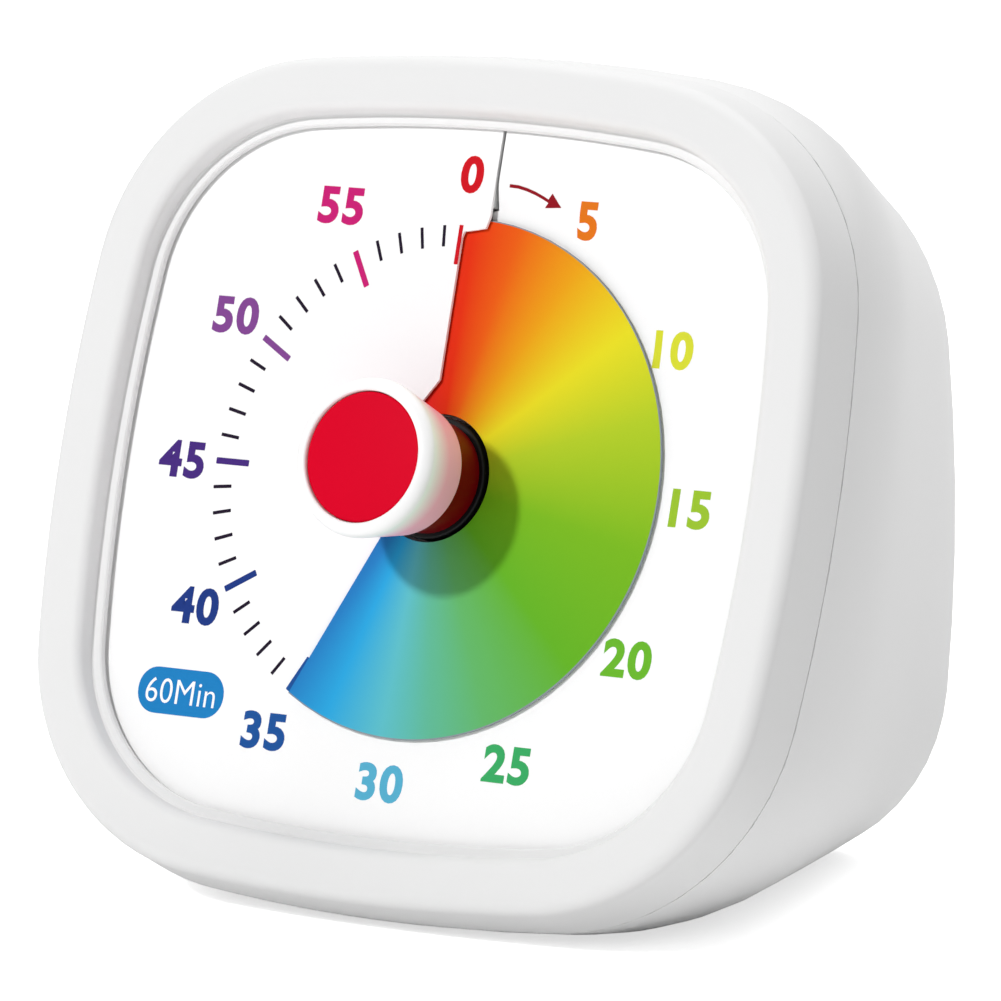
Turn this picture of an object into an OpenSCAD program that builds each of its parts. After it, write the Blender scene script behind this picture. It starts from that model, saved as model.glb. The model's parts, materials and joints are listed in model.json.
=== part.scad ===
// Visual countdown timer: a leaning tapered housing with a rainbow disc that
// climbs through the slit of a printed card, a turning knob, and the geared
// movement, sounder, switch and battery behind them.
// Every piece is drawn about the dial axis, with +Z out of the front, the rim of
// the front frame at z = 0 and depths counted back from it. Sections of the rear
// shell rise and turn upright on their way back, upright() puts what is mounted
// there onto the back, and stand() leans the timer onto its flat underside.

/* [Housing] */
// Width of the housing at its widest section
body_w = 86; // [84:0.5:92]
// Height of the housing at that section
body_h = 83.4; // [82:0.2:90]
// Depth of the housing at the middle of its back
body_d = 47; // [46.5:0.5:52]
// Lean of the face, behind which the back stands upright
lean = 17.8; // [14:0.2:19]
// Taper of the left and right sides
side_taper = 17.8; // [14:0.2:19]
// Taper of the top and the underside
top_taper = 14.8; // [12:0.2:16]
// How far the middle of the back lies above the middle of the front
back_lift = 6.5; // [4:0.5:8]
// Height of the dial axis above the housing's middle
dial_up = 0.5; // [0:0.1:1]
// Corner radius of the widest section
corner_r = 24.8; // [20:0.2:26]
// Radius of the slight bow of each side
side_r = 193; // [150:1:300]
// Depth of the widest section
belly_s = 9.5; // [9:0.1:11]
// How far the seam lies inside the widest section
belly_rise = 0.15; // [0.1:0.05:0.3]
// Radius between the sides and the back
back_r = 5.5; // [4:0.5:8]
// Wall thickness of the rear shell
wall = 2.2; // [1.8:0.1:2.6]
// Width of the flat that the timer stands on
foot_flat_w = 52; // [40:1:56]

/* [Front frame] */
// Depth of the seam between the front frame and the rear shell
seam_s = 6.4; // [5.6:0.1:7.4]
// How far the flat face stops inside the widest section
face_in = 2.6; // [2:0.1:3.4]
// Radius of the outer edge of the face
face_r = 1.6; // [1:0.1:2.2]
// Width of the flat face round the window
face_w = 2.9; // [2.4:0.1:3.6]
// Radius of the window's inner edge
window_r = 1; // [0.6:0.1:1.4]
// Depth of the window's wall
window_s = 3; // [2.4:0.1:3.4]
// Thickness of the window's wall
skirt_t = 1.3; // [1:0.1:1.6]
// Width of the flat ledge inside the window
sill_w = 1.1; // [0.8:0.1:1.4]
// Thickness of that ledge
sill_t = 0.7; // [0.5:0.1:0.9]
// Height of the tongue that enters the rear shell
tongue_h = 2; // [1.5:0.1:3]
// Thickness of that tongue
tongue_t = 1; // [0.8:0.1:1.4]
// Width of each snap hook on the tongue
hook_w = 8; // [6:0.5:12]

/* [Dial] */
// Thickness of the printed card
card_t = 0.3; // [0.2:0.05:0.4]
// Rise of the card and the disc over one turn
climb = 1; // [0.9:0.05:1.2]
// Radius of the rainbow disc
disc_r = 25.1; // [24.6:0.1:25.6]
// Thickness of the rainbow disc
disc_t = 0.25; // [0.15:0.05:0.35]
// Minutes that the disc shows at rest
set_min = 35; // [5:1:55]
// Width of the slit in the card
slit_w = 0.5; // [0.3:0.05:0.8]
// Distance of the slit's outer part right of the dial's middle
slit_x = 2.1; // [1.5:0.1:2.6]
// Distance of the slit's inner part left of the dial's middle
zero_x = 0.65; // [0.4:0.05:0.9]
// Distance of the disc's free edge from the radius beside it
edge_x = 1.5; // [0.8:0.1:1.9]
// Thickness of the dial plate
plate_t = 1.6; // [1.2:0.1:2]

/* [Knob] */
// Radius of the knob's front lip
knob_r = 7.6; // [6.8:0.1:8.4]
// Radius of the knob at its rear rim
knob_rear_r = 6.35; // [5.9:0.05:6.8]
// Length of the white knob
knob_l = 7.9; // [7:0.1:9]
// How far the knob stands in front of the rim
knob_out = 9.4; // [8.4:0.1:11]
// Radius of the red cap
cap_r = 6.2; // [5.6:0.1:6.4]
// Thickness of the red cap
cap_t = 1.3; // [1:0.1:1.6]
// Radius of the red stem
stem_r = 5.4; // [4.8:0.1:5.7]
// Radius of the stem inside the knob
core_r = 4.2; // [3.6:0.1:4.6]
// Radius of the black drum that the disc climbs along
drum_r = 5.9; // [5.8:0.05:6.2]
// Radius of the steel shaft
shaft_r = 1.5; // [1.2:0.05:1.6]

/* [Movement] */
// Tooth size of the wheels
gear_m = 0.4; // [0.38:0.01:0.42]
// Teeth of the output wheel
out_teeth = 60; // [58:1:62]
// Teeth of the idler's large wheel
idler_teeth = 48; // [46:1:50]
// Teeth of the idler's pinion and of the motor pinion
pinion_teeth = 12; // [12:1:13]
// Face width of the output wheel
out_w = 2.4; // [2:0.1:2.6]
// Face width of the idler's large wheel
idler_w = 2; // [1.6:0.1:2.2]
// Wall thickness of the movement case
case_wall = 1.2; // [1:0.1:1.4]
// Depth of the movement case, front to back
case_d = 17.1; // [16.8:0.1:18]
// Radius of the motor
motor_r = 5.2; // [4.8:0.1:5.3]
// Length of the motor
motor_l = 6.4; // [6:0.1:6.6]

/* [Battery and board] */
// Diameter of the battery cell
cell_d = 14.4; // [13.8:0.1:14.5]
// Length of the battery cell, with its nub
cell_l = 50.4; // [49.5:0.1:50.5]
// Width of the battery door
door_w = 52; // [51.5:0.1:52.6]
// Thickness of the battery bay's walls
bay_wall = 1.2; // [1:0.1:1.4]
// Width of the circuit board
board_w = 30; // [28:0.5:31]
// Height of the circuit board
board_h = 22; // [21:0.5:23]
// Thickness of the circuit board
board_t = 1.2; // [1:0.1:1.6]
// Radius of the sounder
buzzer_r = 6; // [5:0.1:6.5]
// Height of the sounder
buzzer_h = 5.5; // [4:0.1:6]
// Travel of the volume switch each way
switch_travel = 2; // [1.5:0.1:2.2]

/* [Hidden] */

$fn = 64;
EPS = 0.01;
FAR = 200;
fit = 0.02;          // radial gap of a pressed or glued fit
run = 0.05;          // radial gap of a running shaft
clear = 0.2;         // gap between pieces that are put together
SIDE_STEPS = 5;      // straight steps along each side of the housing outline
CORNER_STEPS = 10;   // straight steps round each corner
DIAL_STEPS = 72;     // steps round the card and the disc
lip_r = 1.1;         // rounding of the knob's front lip

// ---- housing outline ---------------------------------------------------------

half_w = body_w / 2;
half_h = body_h / 2;
bow_curve = belly_rise / pow(belly_s - seam_s, 2);
bow_len = tan(side_taper) / (2 * bow_curve);
taper_s = belly_s + bow_len;                  // depth where the straight taper starts
taper_in = bow_curve * bow_len * bow_len;     // how far inside the belly it starts

// Centre of a corner arc that touches both bowed sides of the widest section
corner_c = let (m = side_r - half_w, q = side_r - corner_r)
    (sqrt(4 * m * m - 8 * (m * m - q * q)) - 2 * m) / 4;
side_turn = atan2(corner_c, corner_c + side_r - half_w);

// One outline: the widest section scaled by k, moved in by inset, and brought to a half height
function outline(k, inset, high) = [for (q = [0 : 3])
    let (c = cos(90 * q), s = sin(90 * q), squeeze = high / (half_w * k - inset))
    for (p = concat(
        [for (i = [0 : SIDE_STEPS - 1])
            let (a = side_turn * (2 * i / SIDE_STEPS - 1), r = side_r * k - inset)
            [(half_w - side_r) * k + r * cos(a), r * sin(a)]],
        [for (i = [0 : CORNER_STEPS - 1])
            let (a = side_turn + (90 - 2 * side_turn) * i / CORNER_STEPS, r = corner_r * k - inset)
            [corner_c * k + r * cos(a), corner_c * k + r * sin(a)]]))
    [c * p[0] - s * p[1], (s * p[0] + c * p[1]) * squeeze - dial_up]];

// Distance from the axis to an unscaled outline at a clock angle
function reach(clock, inset) =
    let (f = abs(clock % 90), a = min(f, 90 - f), d = half_w - side_r, r = side_r - inset,
        on_side = d * cos(a) + sqrt(r * r - pow(d * sin(a), 2)),
        over = atan2(on_side * sin(a), on_side * cos(a) - d) > side_turn,
        sum = corner_c * (cos(a) + sin(a)), rc = corner_r - inset)
    over ? sum + sqrt(sum * sum - 2 * corner_c * corner_c + rc * rc) : on_side;

// How far the sides, and the top and underside, lie inside the widest section at a depth
function side_in(s) = s < taper_s ? bow_curve * pow(s - belly_s, 2)
    : taper_in + (s - taper_s) * tan(side_taper);
function top_in(s) = side_in(s) * (s < belly_s ? 1 : tan(top_taper) / tan(side_taper));

// Share of the way from the seam to the back, along which the sections rise and turn upright
function share(s) = max(0, s - seam_s) / (body_d - seam_s);

// A surface through outlines given as [depth, scale, inset, half height, share], capped or joined up
module loft(rings, joined = false) {
    n = 4 * (SIDE_STEPS + CORNER_STEPS);
    count = len(rings);
    points = [for (r = rings) for (p = outline(r[1], r[2], r[3]))
        [p[0], p[1] + back_lift * r[4], p[1] * tan(lean) * r[4] - r[0]]];
    strips = [for (i = [0 : count - (joined ? 1 : 2)], j = [0 : n - 1])
        let (a = i * n, b = (i + 1) % count * n, k = (j + 1) % n)
        each [[a + j, b + j, b + k], [a + j, b + k, a + k]]];
    caps = joined ? [] : [[for (j = [0 : n - 1]) j],
        [for (j = [0 : n - 1]) (count - 1) * n + n - 1 - j]];
    polyhedron(points, concat(strips, caps));
}

// ---- lean and stand ----------------------------------------------------------

flat_cut = side_r - sqrt(side_r * side_r - pow(foot_flat_w / 2, 2));
low_y = half_h - top_in(taper_s) + dial_up;
sole_y = low_y - back_lift * share(taper_s) - flat_cut
    + (taper_s + low_y * tan(lean) * share(taper_s)) * tan(lean);
stand_z = sole_y * cos(lean);
front_reach = max((knob_out - lip_r) * cos(lean) + (knob_r - lip_r) * sin(lean) + lip_r,
    (half_h + dial_up - face_in) * sin(lean) + face_r * (1 - cos(lean)));
back_reach = back_lift * sin(lean) + body_d * cos(lean);
stand_y = (front_reach - back_reach) / 2;

module stand() {
    translate([0, stand_y, stand_z])
        rotate([90 - lean, 0, 0])
            children();
}

// Turns what is drawn against a flat back at depth body_d onto the upright back
module upright() {
    translate([0, back_lift, -body_d])
        rotate([lean, 0, 0])
            translate([0, 0, body_d])
                children();
}

module at(s) {
    translate([0, 0, -s])
        children();
}

// A ring or disc from depth s0 back to depth s1
module barrel(s0, s1, r, bore = 0) {
    at(s1)
        difference() {
            cylinder(h = s1 - s0, r = r);
            if (bore > 0)
                translate([0, 0, -EPS])
                    cylinder(h = s1 - s0 + 2 * EPS, r = bore);
        }
}

// A block between two corners given as x, y and depth
module block(low, high) {
    translate([low[0], low[1], -high[2]])
        cube([high[0] - low[0], high[1] - low[1], high[2] - low[2]]);
}

// ---- front frame -------------------------------------------------------------

window_in = face_in + face_w + window_r;
tongue_in = belly_rise + wall + 0.15;
frame_in = tongue_in + tongue_t;
ledge_s = 2.2;                // depth of the channel behind the face
FILLET_STEPS = 4;

function frame_ring(s, inset) = [s, 1, inset, half_h - inset, share(s)];
function frame_profile() = concat(
    [frame_ring(seam_s, belly_rise)],
    [for (i = [0 : FILLET_STEPS]) let (a = 90 * i / FILLET_STEPS)
        frame_ring(face_r * (1 - sin(a)), face_in - face_r * cos(a))],
    [for (i = [0 : FILLET_STEPS]) let (a = 90 * i / FILLET_STEPS)
        frame_ring(window_r * (1 - cos(a)), window_in - window_r * (1 - sin(a)))],
    [for (p = [[window_s - sill_t, window_in + 0.1], [window_s - sill_t, window_in + sill_w],
            [window_s, window_in + sill_w], [window_s, window_in - skirt_t],
            [ledge_s, window_in - skirt_t - 0.3], [ledge_s, frame_in],
            [seam_s + tongue_h, frame_in], [seam_s + tongue_h, tongue_in], [seam_s, tongue_in]])
        frame_ring(p[0], p[1])]);

hook_s = [seam_s + 0.4, seam_s + tongue_h - 0.7];
hook_reach = 0.8;

// A block on each side, between two distances out from the outside of the tongue
module hooks(low, high, half, s0, s1) {
    for (q = [0 : 3])
        let (side = (q % 2 == 0 ? half_w : half_h) - tongue_in)
            translate([0, q % 2 == 0 ? 0 : -dial_up])
                rotate(90 * q)
                    block([side + low, -half, s0], [side + high, half, s1]);
}

module front_frame() {
    color("white") {
        loft(frame_profile(), joined = true);
        hooks(-tongue_t / 2, hook_reach, hook_w / 2, hook_s[0], hook_s[1]);
    }
}

// ---- dial: plate, card and disc ------------------------------------------------

card_in = frame_in + 0.45;
card_low_s = window_s + climb + card_t / 2 + 0.1;   // depth of the card right of its slit
plate_s = card_low_s + climb / 2 + disc_t / 2 + 0.43;
plate_back_s = plate_s + plate_t;
plate_in = frame_in + 0.3;
turned = 6 * set_min;                                // clock angle of the disc's free edge
disc_hole_r = drum_r + 0.3;
card_hole_r = disc_hole_r + 0.4;
chamfer_r = 9.4;                                     // where the slit's left edge starts to lean
chamfer_turn = 31;                                   // its turn from the dial's middle at the hole
jog_r = disc_r - 2;                                  // where the slit leaves its inner part
post_x = 19;
post_y = 20;
post_r = 3;

// A spiral sheet. Each ring is [clock start, clock end, radius, or 0 for the outline at inset].
// Its two faces are [depth at clock 0, rise over a turn].
module spiral(rings, inset, front, back) {
    cols = DIAL_STEPS + 1;
    rows = len(rings);
    points = [for (face = [front, back], ring = rings, j = [0 : DIAL_STEPS])
        let (clock = ring[0] + (ring[1] - ring[0]) * j / DIAL_STEPS, inside = ring[2] > 0,
            r = inside ? ring[2] : reach(clock, inset),
            squeeze = inside ? 1 : (half_h - inset) / (half_w - inset))
        [r * sin(clock), r * cos(clock) * squeeze - (inside ? 0 : dial_up),
            face[1] * clock / 360 - face[0]]];
    half = rows * cols;
    sheets = [for (i = [0 : rows - 2], j = [0 : DIAL_STEPS - 1])
        let (a = i * cols + j, b = a + cols)
        each [[a, b, b + 1], [a, b + 1, a + 1], [half + a, half + b + 1, half + b],
            [half + a, half + a + 1, half + b + 1]]];
    edges = [for (j = [0 : DIAL_STEPS - 1])
        let (a = j, b = (rows - 1) * cols + j)
        each [[a, half + a + 1, half + a], [a, a + 1, half + a + 1],
            [b, half + b, half + b + 1], [b, half + b + 1, b + 1]]];
    ends = [for (i = [0 : rows - 2])
        let (a = i * cols, b = a + cols, c = a + DIAL_STEPS, d = c + cols)
        each [[a, half + b, b], [a, half + a, half + b],
            [c, d, half + d], [c, half + d, half + c]]];
    polyhedron(points, concat(sheets, edges, ends));
}

// A ring of the card at a radius, or at its outline for radius 0. It runs from the slit's right
// side round to its left side, each half a slit width beside its distance from the dial's middle.
function card_ring(r, left, right) =
    let (q = r > 0 ? r : half_h - card_in, half = slit_w / 2)
    [asin((right + half) / q), 360 + asin((left - half) / q), r];

module dial_card() {
    color("white")
        spiral([card_ring(card_hole_r, -card_hole_r * sin(chamfer_turn), -zero_x),
            card_ring(chamfer_r, -zero_x, -zero_x), card_ring(jog_r, -zero_x, -zero_x),
            card_ring(jog_r + 0.6, 0, 0), card_ring(jog_r + 1.2, slit_x * 0.6, slit_x * 0.6),
            card_ring(jog_r + 1.9, slit_x, slit_x), card_ring(0, slit_x, slit_x)],
            card_in, [card_low_s - card_t / 2, climb], [card_low_s + card_t / 2, climb]);
}

// The disc is one turn of the same spiral, half a rise off the card's
module rainbow_disc() {
    mid_s = card_low_s + climb / 2;
    color("orange")
        spiral([for (r = [disc_hole_r, disc_r])
            let (clock = turned + asin(edge_x / r) - asin(edge_x / disc_r))
            [clock + 0.5, clock + 359.5, r]],
            0, [mid_s - disc_t / 2, climb], [mid_s + disc_t / 2, climb]);
}

// Spiral ledge of the plate that carries the card's edge
module card_ledge() {
    spiral([for (r = [disc_r + 1.2, 0]) card_ring(r, slit_x, slit_x)], card_in,
        [card_low_s + card_t / 2 + 0.05, climb], [plate_s + plate_t / 2, 0]);
}

module dial_plate() {
    color("gainsboro")
        difference() {
            union() {
                at(plate_back_s)
                    linear_extrude(plate_t)
                        polygon(outline(1, plate_in, half_h - plate_in));
                card_ledge();
                for (x = [-1, 1], y = [-1, 1])
                    translate([x * post_x, y * post_y])
                        barrel(plate_s + plate_t / 2, post_end_s, post_r);
                for (x = [-1, 1])
                    translate([x * ear_x, ear_y])
                        barrel(plate_s + plate_t / 2, ear_s, boss_r);
            }
            barrel(plate_s - EPS, plate_back_s + EPS, bush_r + fit);
            for (x = [-1, 1], y = [-1, 1])
                translate([x * post_x, y * post_y])
                    barrel(plate_back_s + 1, post_end_s + EPS, screw_r);
            for (x = [-1, 1])
                translate([x * ear_x, ear_y])
                    barrel(plate_back_s - 0.6, ear_s + EPS, small_screw_r);
        }
}

// ---- knob, drum and shaft ------------------------------------------------------

cap_sink = 0.3;                   // how far the cap lies below the lip
drum_back_s = plate_s - 0.3;
drum_front_s = drum_back_s - 2.1;
knob_rear_z = knob_out - knob_l;
cap_back_z = knob_out - cap_sink - cap_t;
shaft_front_z = cap_back_z - 1.8;

module disc_drum() {
    color("#151515")
        barrel(drum_front_s, drum_back_s, drum_r, shaft_r + fit);
}

module knob_stem() {
    color("#7a0010")
        difference() {
            union() {
                barrel(-knob_rear_z + fit, drum_front_s - fit, stem_r);
                barrel(-cap_back_z + 0.3, drum_front_s - fit, core_r);
            }
            barrel(-shaft_front_z - clear, drum_front_s + EPS, shaft_r + fit);
        }
}

module knob_body() {
    arc = [for (i = [0 : 6]) let (a = 15 * i)
        [knob_r - lip_r * (1 - cos(a)), knob_out - lip_r * (1 - sin(a))]];
    color("white")
        difference() {
            rotate_extrude()
                polygon(concat([[0, knob_rear_z], [knob_rear_r, knob_rear_z]], arc, [[0, knob_out]]));
            barrel(-knob_out - EPS, -cap_back_z, cap_r + 0.08);
            barrel(-cap_back_z - EPS, -knob_rear_z + EPS, core_r + fit);
        }
}

module knob_cap() {
    top = cap_back_z + cap_t;
    color("#e2002d")
        rotate_extrude()
            polygon([[0, cap_back_z + fit], [cap_r, cap_back_z + fit], [cap_r, top - 0.25],
                [cap_r - 0.25, top], [0, top]]);
}

bush_r = 3;
bush_flange_r = 4.2;
bush_flange_t = 0.6;
case_s = plate_back_s + bush_flange_t + 0.2;
shoulder_s = case_s + case_wall + 0.2;
shoulder_t = 0.8;
shoulder_r = 3;
spring_s = shoulder_s + shoulder_t;
spring_h = 0.6;
out_s = spring_s + spring_h + 0.1;
clip_s = out_s + out_w + 0.1;
clip_t = 0.6;
clip_r = 2.6;
groove_r = 1.1;
pivot_r = 1;
case_back_s = case_s + case_d;
pivot_s = case_back_s - case_wall - 0.3;

module drive_shaft() {
    color("silver")
        difference() {
            union() {
                barrel(-shaft_front_z, pivot_s, shaft_r);
                barrel(shoulder_s, spring_s, shoulder_r);
                barrel(pivot_s - EPS, case_back_s + 0.3, pivot_r);
            }
            barrel(clip_s, clip_s + clip_t, shaft_r + 1, groove_r);
        }
}

module shaft_bush() {
    color("goldenrod")
        difference() {
            union() {
                barrel(plate_s, plate_back_s + bush_flange_t, bush_r);
                barrel(plate_back_s + fit, plate_back_s + bush_flange_t, bush_flange_r);
            }
            barrel(plate_s - 1, plate_back_s + bush_flange_t + EPS, shaft_r + run);
        }
}

// Dished washer that presses the output wheel onto the shaft's shoulder
module clutch_spring() {
    color("lightsteelblue")
        rotate_extrude()
            polygon([[shaft_r + 0.1, -spring_s - 0.03], [shaft_r + 0.1, -spring_s - 0.23],
                [shoulder_r + 0.8, -spring_s - spring_h], [shoulder_r + 0.8, -spring_s - spring_h + 0.2]]);
}

module shaft_clip() {
    color("dimgray")
        difference() {
            barrel(clip_s + fit, clip_s + clip_t - fit, clip_r, groove_r + fit);
            at(clip_s + clip_t)
                translate([0, -groove_r * 0.9])
                    cube([clip_r + 1, groove_r * 1.8, clip_t + EPS]);
        }
}

// ---- wheels --------------------------------------------------------------------

PRESSURE = 20;
backlash = 0.06;

function involute(a) = tan(a) * 180 / PI - a;

// Outline of a spur gear with one tooth centred on angle 0
function gear_points(teeth) =
    let (rp = gear_m * teeth / 2, rb = rp * cos(PRESSURE), ra = rp + gear_m, rf = rp - 1.25 * gear_m,
        tooth = 90 / teeth - backlash / 4 / rp * 180 / PI + involute(PRESSURE),
        start = max(rf + 0.02, rb),
        flank = [for (r = [start, (start + rp) / 2, rp, ra]) [r, tooth - involute(acos(min(1, rb / r)))]],
        side = concat([[rf, flank[0][1]]], flank))
    [for (t = [0 : teeth - 1]) each concat(
        [for (p = side) let (a = 360 * t / teeth - p[1]) [p[0] * cos(a), p[0] * sin(a)]],
        [for (i = [len(side) - 1 : -1 : 0]) let (p = side[i], a = 360 * t / teeth + p[1])
            [p[0] * cos(a), p[0] * sin(a)]])];

module gear(teeth, s0, s1, turn = 0) {
    at(s1)
        rotate(turn)
            linear_extrude(s1 - s0)
                polygon(gear_points(teeth));
}

// Turn that puts a gear in mesh with another one at a direction from it
function mesh_turn(teeth, other, other_turn, direction) =
    direction + 180 - (180 - (direction - other_turn) * other) / teeth;

idler_y = gear_m * (out_teeth + pinion_teeth) / 2;
motor_turn = 240;                          // direction from the idler to the motor
motor_reach = gear_m * (idler_teeth + pinion_teeth) / 2;
motor_x = motor_reach * cos(motor_turn);
motor_y = idler_y + motor_reach * sin(motor_turn);
idler_s = out_s + out_w + 1;
pin_r = 0.9;
idler_mesh = mesh_turn(pinion_teeth, out_teeth, 0, 90);
motor_mesh = mesh_turn(pinion_teeth, idler_teeth, idler_mesh, motor_turn);
WEB_HOLES = 5;

module output_wheel() {
    tip_r = gear_m * out_teeth / 2;
    color("ivory")
        difference() {
            gear(out_teeth, out_s, out_s + out_w);
            barrel(out_s - EPS, out_s + out_w + EPS, shaft_r + run);
            for (i = [0 : WEB_HOLES - 1])
                rotate(360 * (i + 0.5) / WEB_HOLES)
                    translate([tip_r * 0.56, 0])
                        barrel(out_s - EPS, out_s + out_w + EPS, tip_r * 0.2);
        }
}

module idler_wheel() {
    color("honeydew")
        translate([0, idler_y])
            difference() {
                union() {
                    barrel(case_s + case_wall + 0.3, out_s + 0.2, pin_r + 0.8);
                    gear(pinion_teeth, out_s, idler_s + EPS, idler_mesh);
                    gear(idler_teeth, idler_s, idler_s + idler_w, idler_mesh);
                    barrel(idler_s, case_back_s - case_wall - 0.3, pin_r + 0.8);
                }
                barrel(case_s, case_back_s, pin_r + run);
            }
}

module idler_pin() {
    color("silver")
        translate([0, idler_y])
            barrel(case_s + 0.3, case_back_s - 0.3, pin_r);
}

// ---- motor ---------------------------------------------------------------------

rotor_r = 0.5;
magnet_r = 2.6;
can_t = 0.5;
motor_s = case_back_s - case_wall - 0.02 - motor_l;

module motor_pinion() {
    color("goldenrod")
        translate([motor_x, motor_y])
            difference() {
                gear(pinion_teeth, idler_s - 0.2, idler_s + idler_w + 0.2, motor_mesh);
                barrel(idler_s - 1, idler_s + idler_w + 1, rotor_r + fit);
            }
}

module motor_rotor() {
    color("dimgray")
        translate([motor_x, motor_y]) {
            barrel(idler_s - 0.5, motor_s + motor_l - can_t - 0.3, rotor_r);
            barrel(motor_s + 1.2, motor_s + motor_l - 1.2, magnet_r);
        }
}

module motor_coil() {
    color("chocolate")
        translate([motor_x, motor_y])
            barrel(motor_s + 1, motor_s + motor_l - 1, motor_r - can_t - fit, magnet_r + 0.4);
}

module motor_can() {
    color("silver")
        translate([motor_x, motor_y])
            difference() {
                barrel(motor_s, motor_s + motor_l, motor_r);
                barrel(motor_s + can_t, motor_s + motor_l - can_t, motor_r - can_t);
                barrel(motor_s - EPS, motor_s + 1, rotor_r + run);
            }
}

// ---- movement case ---------------------------------------------------------------

case_half_x = gear_m * (out_teeth / 2 + 1) + 0.6 + case_wall;
case_low_y = -case_half_x;
case_high_y = idler_y + gear_m * (idler_teeth / 2 + 1) + 0.6 + case_wall;
case_r = 5;
ear_x = case_half_x + 3.3;
ear_y = 3;
ear_s = case_s + 4.5;
ear_t = 1.6;
boss_r = 2.7;
small_screw_r = 0.9;
screw_r = 1.1;

// A flat rectangle with round corners between two corners
module round_rect(low, high, r) {
    size = high - low;
    translate(low + [r, 0])
        square([size[0] - 2 * r, size[1]]);
    translate(low + [0, r])
        square([size[0], size[1] - 2 * r]);
    for (x = [low[0] + r, high[0] - r], y = [low[1] + r, high[1] - r])
        translate([x, y])
            circle(r = r);
}

module case_shape(inset) {
    round_rect([-case_half_x + inset, case_low_y + inset], [case_half_x - inset, case_high_y - inset],
        case_r - inset);
}

module movement_front() {
    color("gainsboro")
        difference() {
            at(case_s + case_wall)
                linear_extrude(case_wall)
                    case_shape(0);
            barrel(case_s - EPS, case_s + case_wall + EPS, shaft_r + run);
            translate([0, idler_y])
                barrel(case_s + 0.2, case_s + case_wall + EPS, pin_r + fit);
        }
}

module movement_rear() {
    low_s = case_s + case_wall + 0.02;
    color("whitesmoke")
        difference() {
            union() {
                at(case_back_s)
                    linear_extrude(case_back_s - low_s)
                        case_shape(0);
                for (x = [-1, 1])
                    translate([0, ear_y]) {
                        translate([x * ear_x, 0])
                            barrel(ear_s + fit, ear_s + ear_t, boss_r);
                        block([min(x * ear_x, x * (case_half_x - 1)), -boss_r, ear_s + fit],
                            [max(x * ear_x, x * (case_half_x - 1)), boss_r, ear_s + ear_t]);
                    }
            }
            at(case_back_s - case_wall)
                linear_extrude(case_d)
                    case_shape(case_wall);
            for (x = [-1, 1])
                translate([x * ear_x, ear_y])
                    barrel(ear_s - 1, ear_s + ear_t + 1, small_screw_r + 0.25);
            barrel(case_back_s - case_wall - EPS, case_back_s + EPS, pivot_r + run);
            translate([0, idler_y])
                barrel(case_back_s - case_wall - EPS, case_back_s - 0.2, pin_r + fit);
        }
}

// Spring contact that a flat on the shaft's shoulder would close at zero
module alarm_leaf() {
    leaf_x = -case_half_x + case_wall + 0.8;
    color("goldenrod") {
        block([leaf_x, -9, shoulder_s], [leaf_x + 0.3, 1, spring_s]);
        block([leaf_x + 0.2, 0.7, shoulder_s], [-shoulder_r - 0.35, 1, spring_s]);
        block([leaf_x - 0.78, -9, case_s + case_wall + 0.02], [leaf_x + 1.4, -6, spring_s]);
    }
}

// ---- screws ----------------------------------------------------------------------

// A pan-head screw with its head's seat at depth s and its point towards the front
module screw(s, shank_r, head_r, head_h, length) {
    difference() {
        union() {
            barrel(s + 0.01, s + head_h, head_r);
            barrel(s - length, s + 0.02, shank_r);
        }
        for (a = [0, 90])
            at(s + head_h + EPS)
                rotate(a)
                    translate([-head_r * 0.6, -head_r * 0.13, 0])
                        cube([head_r * 1.2, head_r * 0.26, head_h * 0.6]);
    }
}

post_end_s = 21;
tube_gap = 0.2;
web_t = 4.6;
tube_r = 3.3;
head_seat_s = post_end_s + tube_gap + web_t;

module housing_screws() {
    color("gray")
        for (x = [-1, 1], y = [-1, 1])
            translate([x * post_x, y * post_y])
                screw(head_seat_s, screw_r - fit, 2.3, 1.7, 12);
}

module movement_screws() {
    color("gray")
        for (x = [-1, 1])
            translate([x * ear_x, ear_y])
                screw(ear_s + ear_t, small_screw_r - fit, 1.9, 1.3, 6);
}

// ---- battery, board, switch and sounder ---------------------------------------------

inner_back_s = body_d - wall;
bay_y = -8;
cell_gap = 0.3;                // clearance in front of and behind the cell
bay_half_y = cell_d / 2 + 0.7;
bay_half_x = cell_l / 2 + 3.2;
cell_s = inner_back_s - cell_gap - cell_d / 2;
bay_s = cell_s - cell_d / 2 - cell_gap;
contact_t = 0.4;
cell_high_x = bay_half_x - contact_t - 0.1;
cell_low_x = cell_high_x - cell_l;
nub_r = 2.7;
nub_l = 1.4;
contact_half = 5.5;            // half width of each contact plate

module battery_cell() {
    color("seagreen")
        translate([0, bay_y, -cell_s])
            rotate([0, 90, 0]) {
                translate([0, 0, cell_low_x])
                    cylinder(h = cell_l - nub_l, r = cell_d / 2);
                translate([0, 0, cell_high_x - nub_l - EPS])
                    cylinder(h = nub_l + EPS, r = nub_r);
            }
}

COIL_TURNS = 4;
COIL_STEPS = 12;
wire_r = 0.3;
coil_end_x = -bay_half_x + contact_t + wire_r + 0.05;
coil_l = cell_low_x - wire_r - 0.1 - coil_end_x;
coil_r = [4.2, 2.4];

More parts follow.
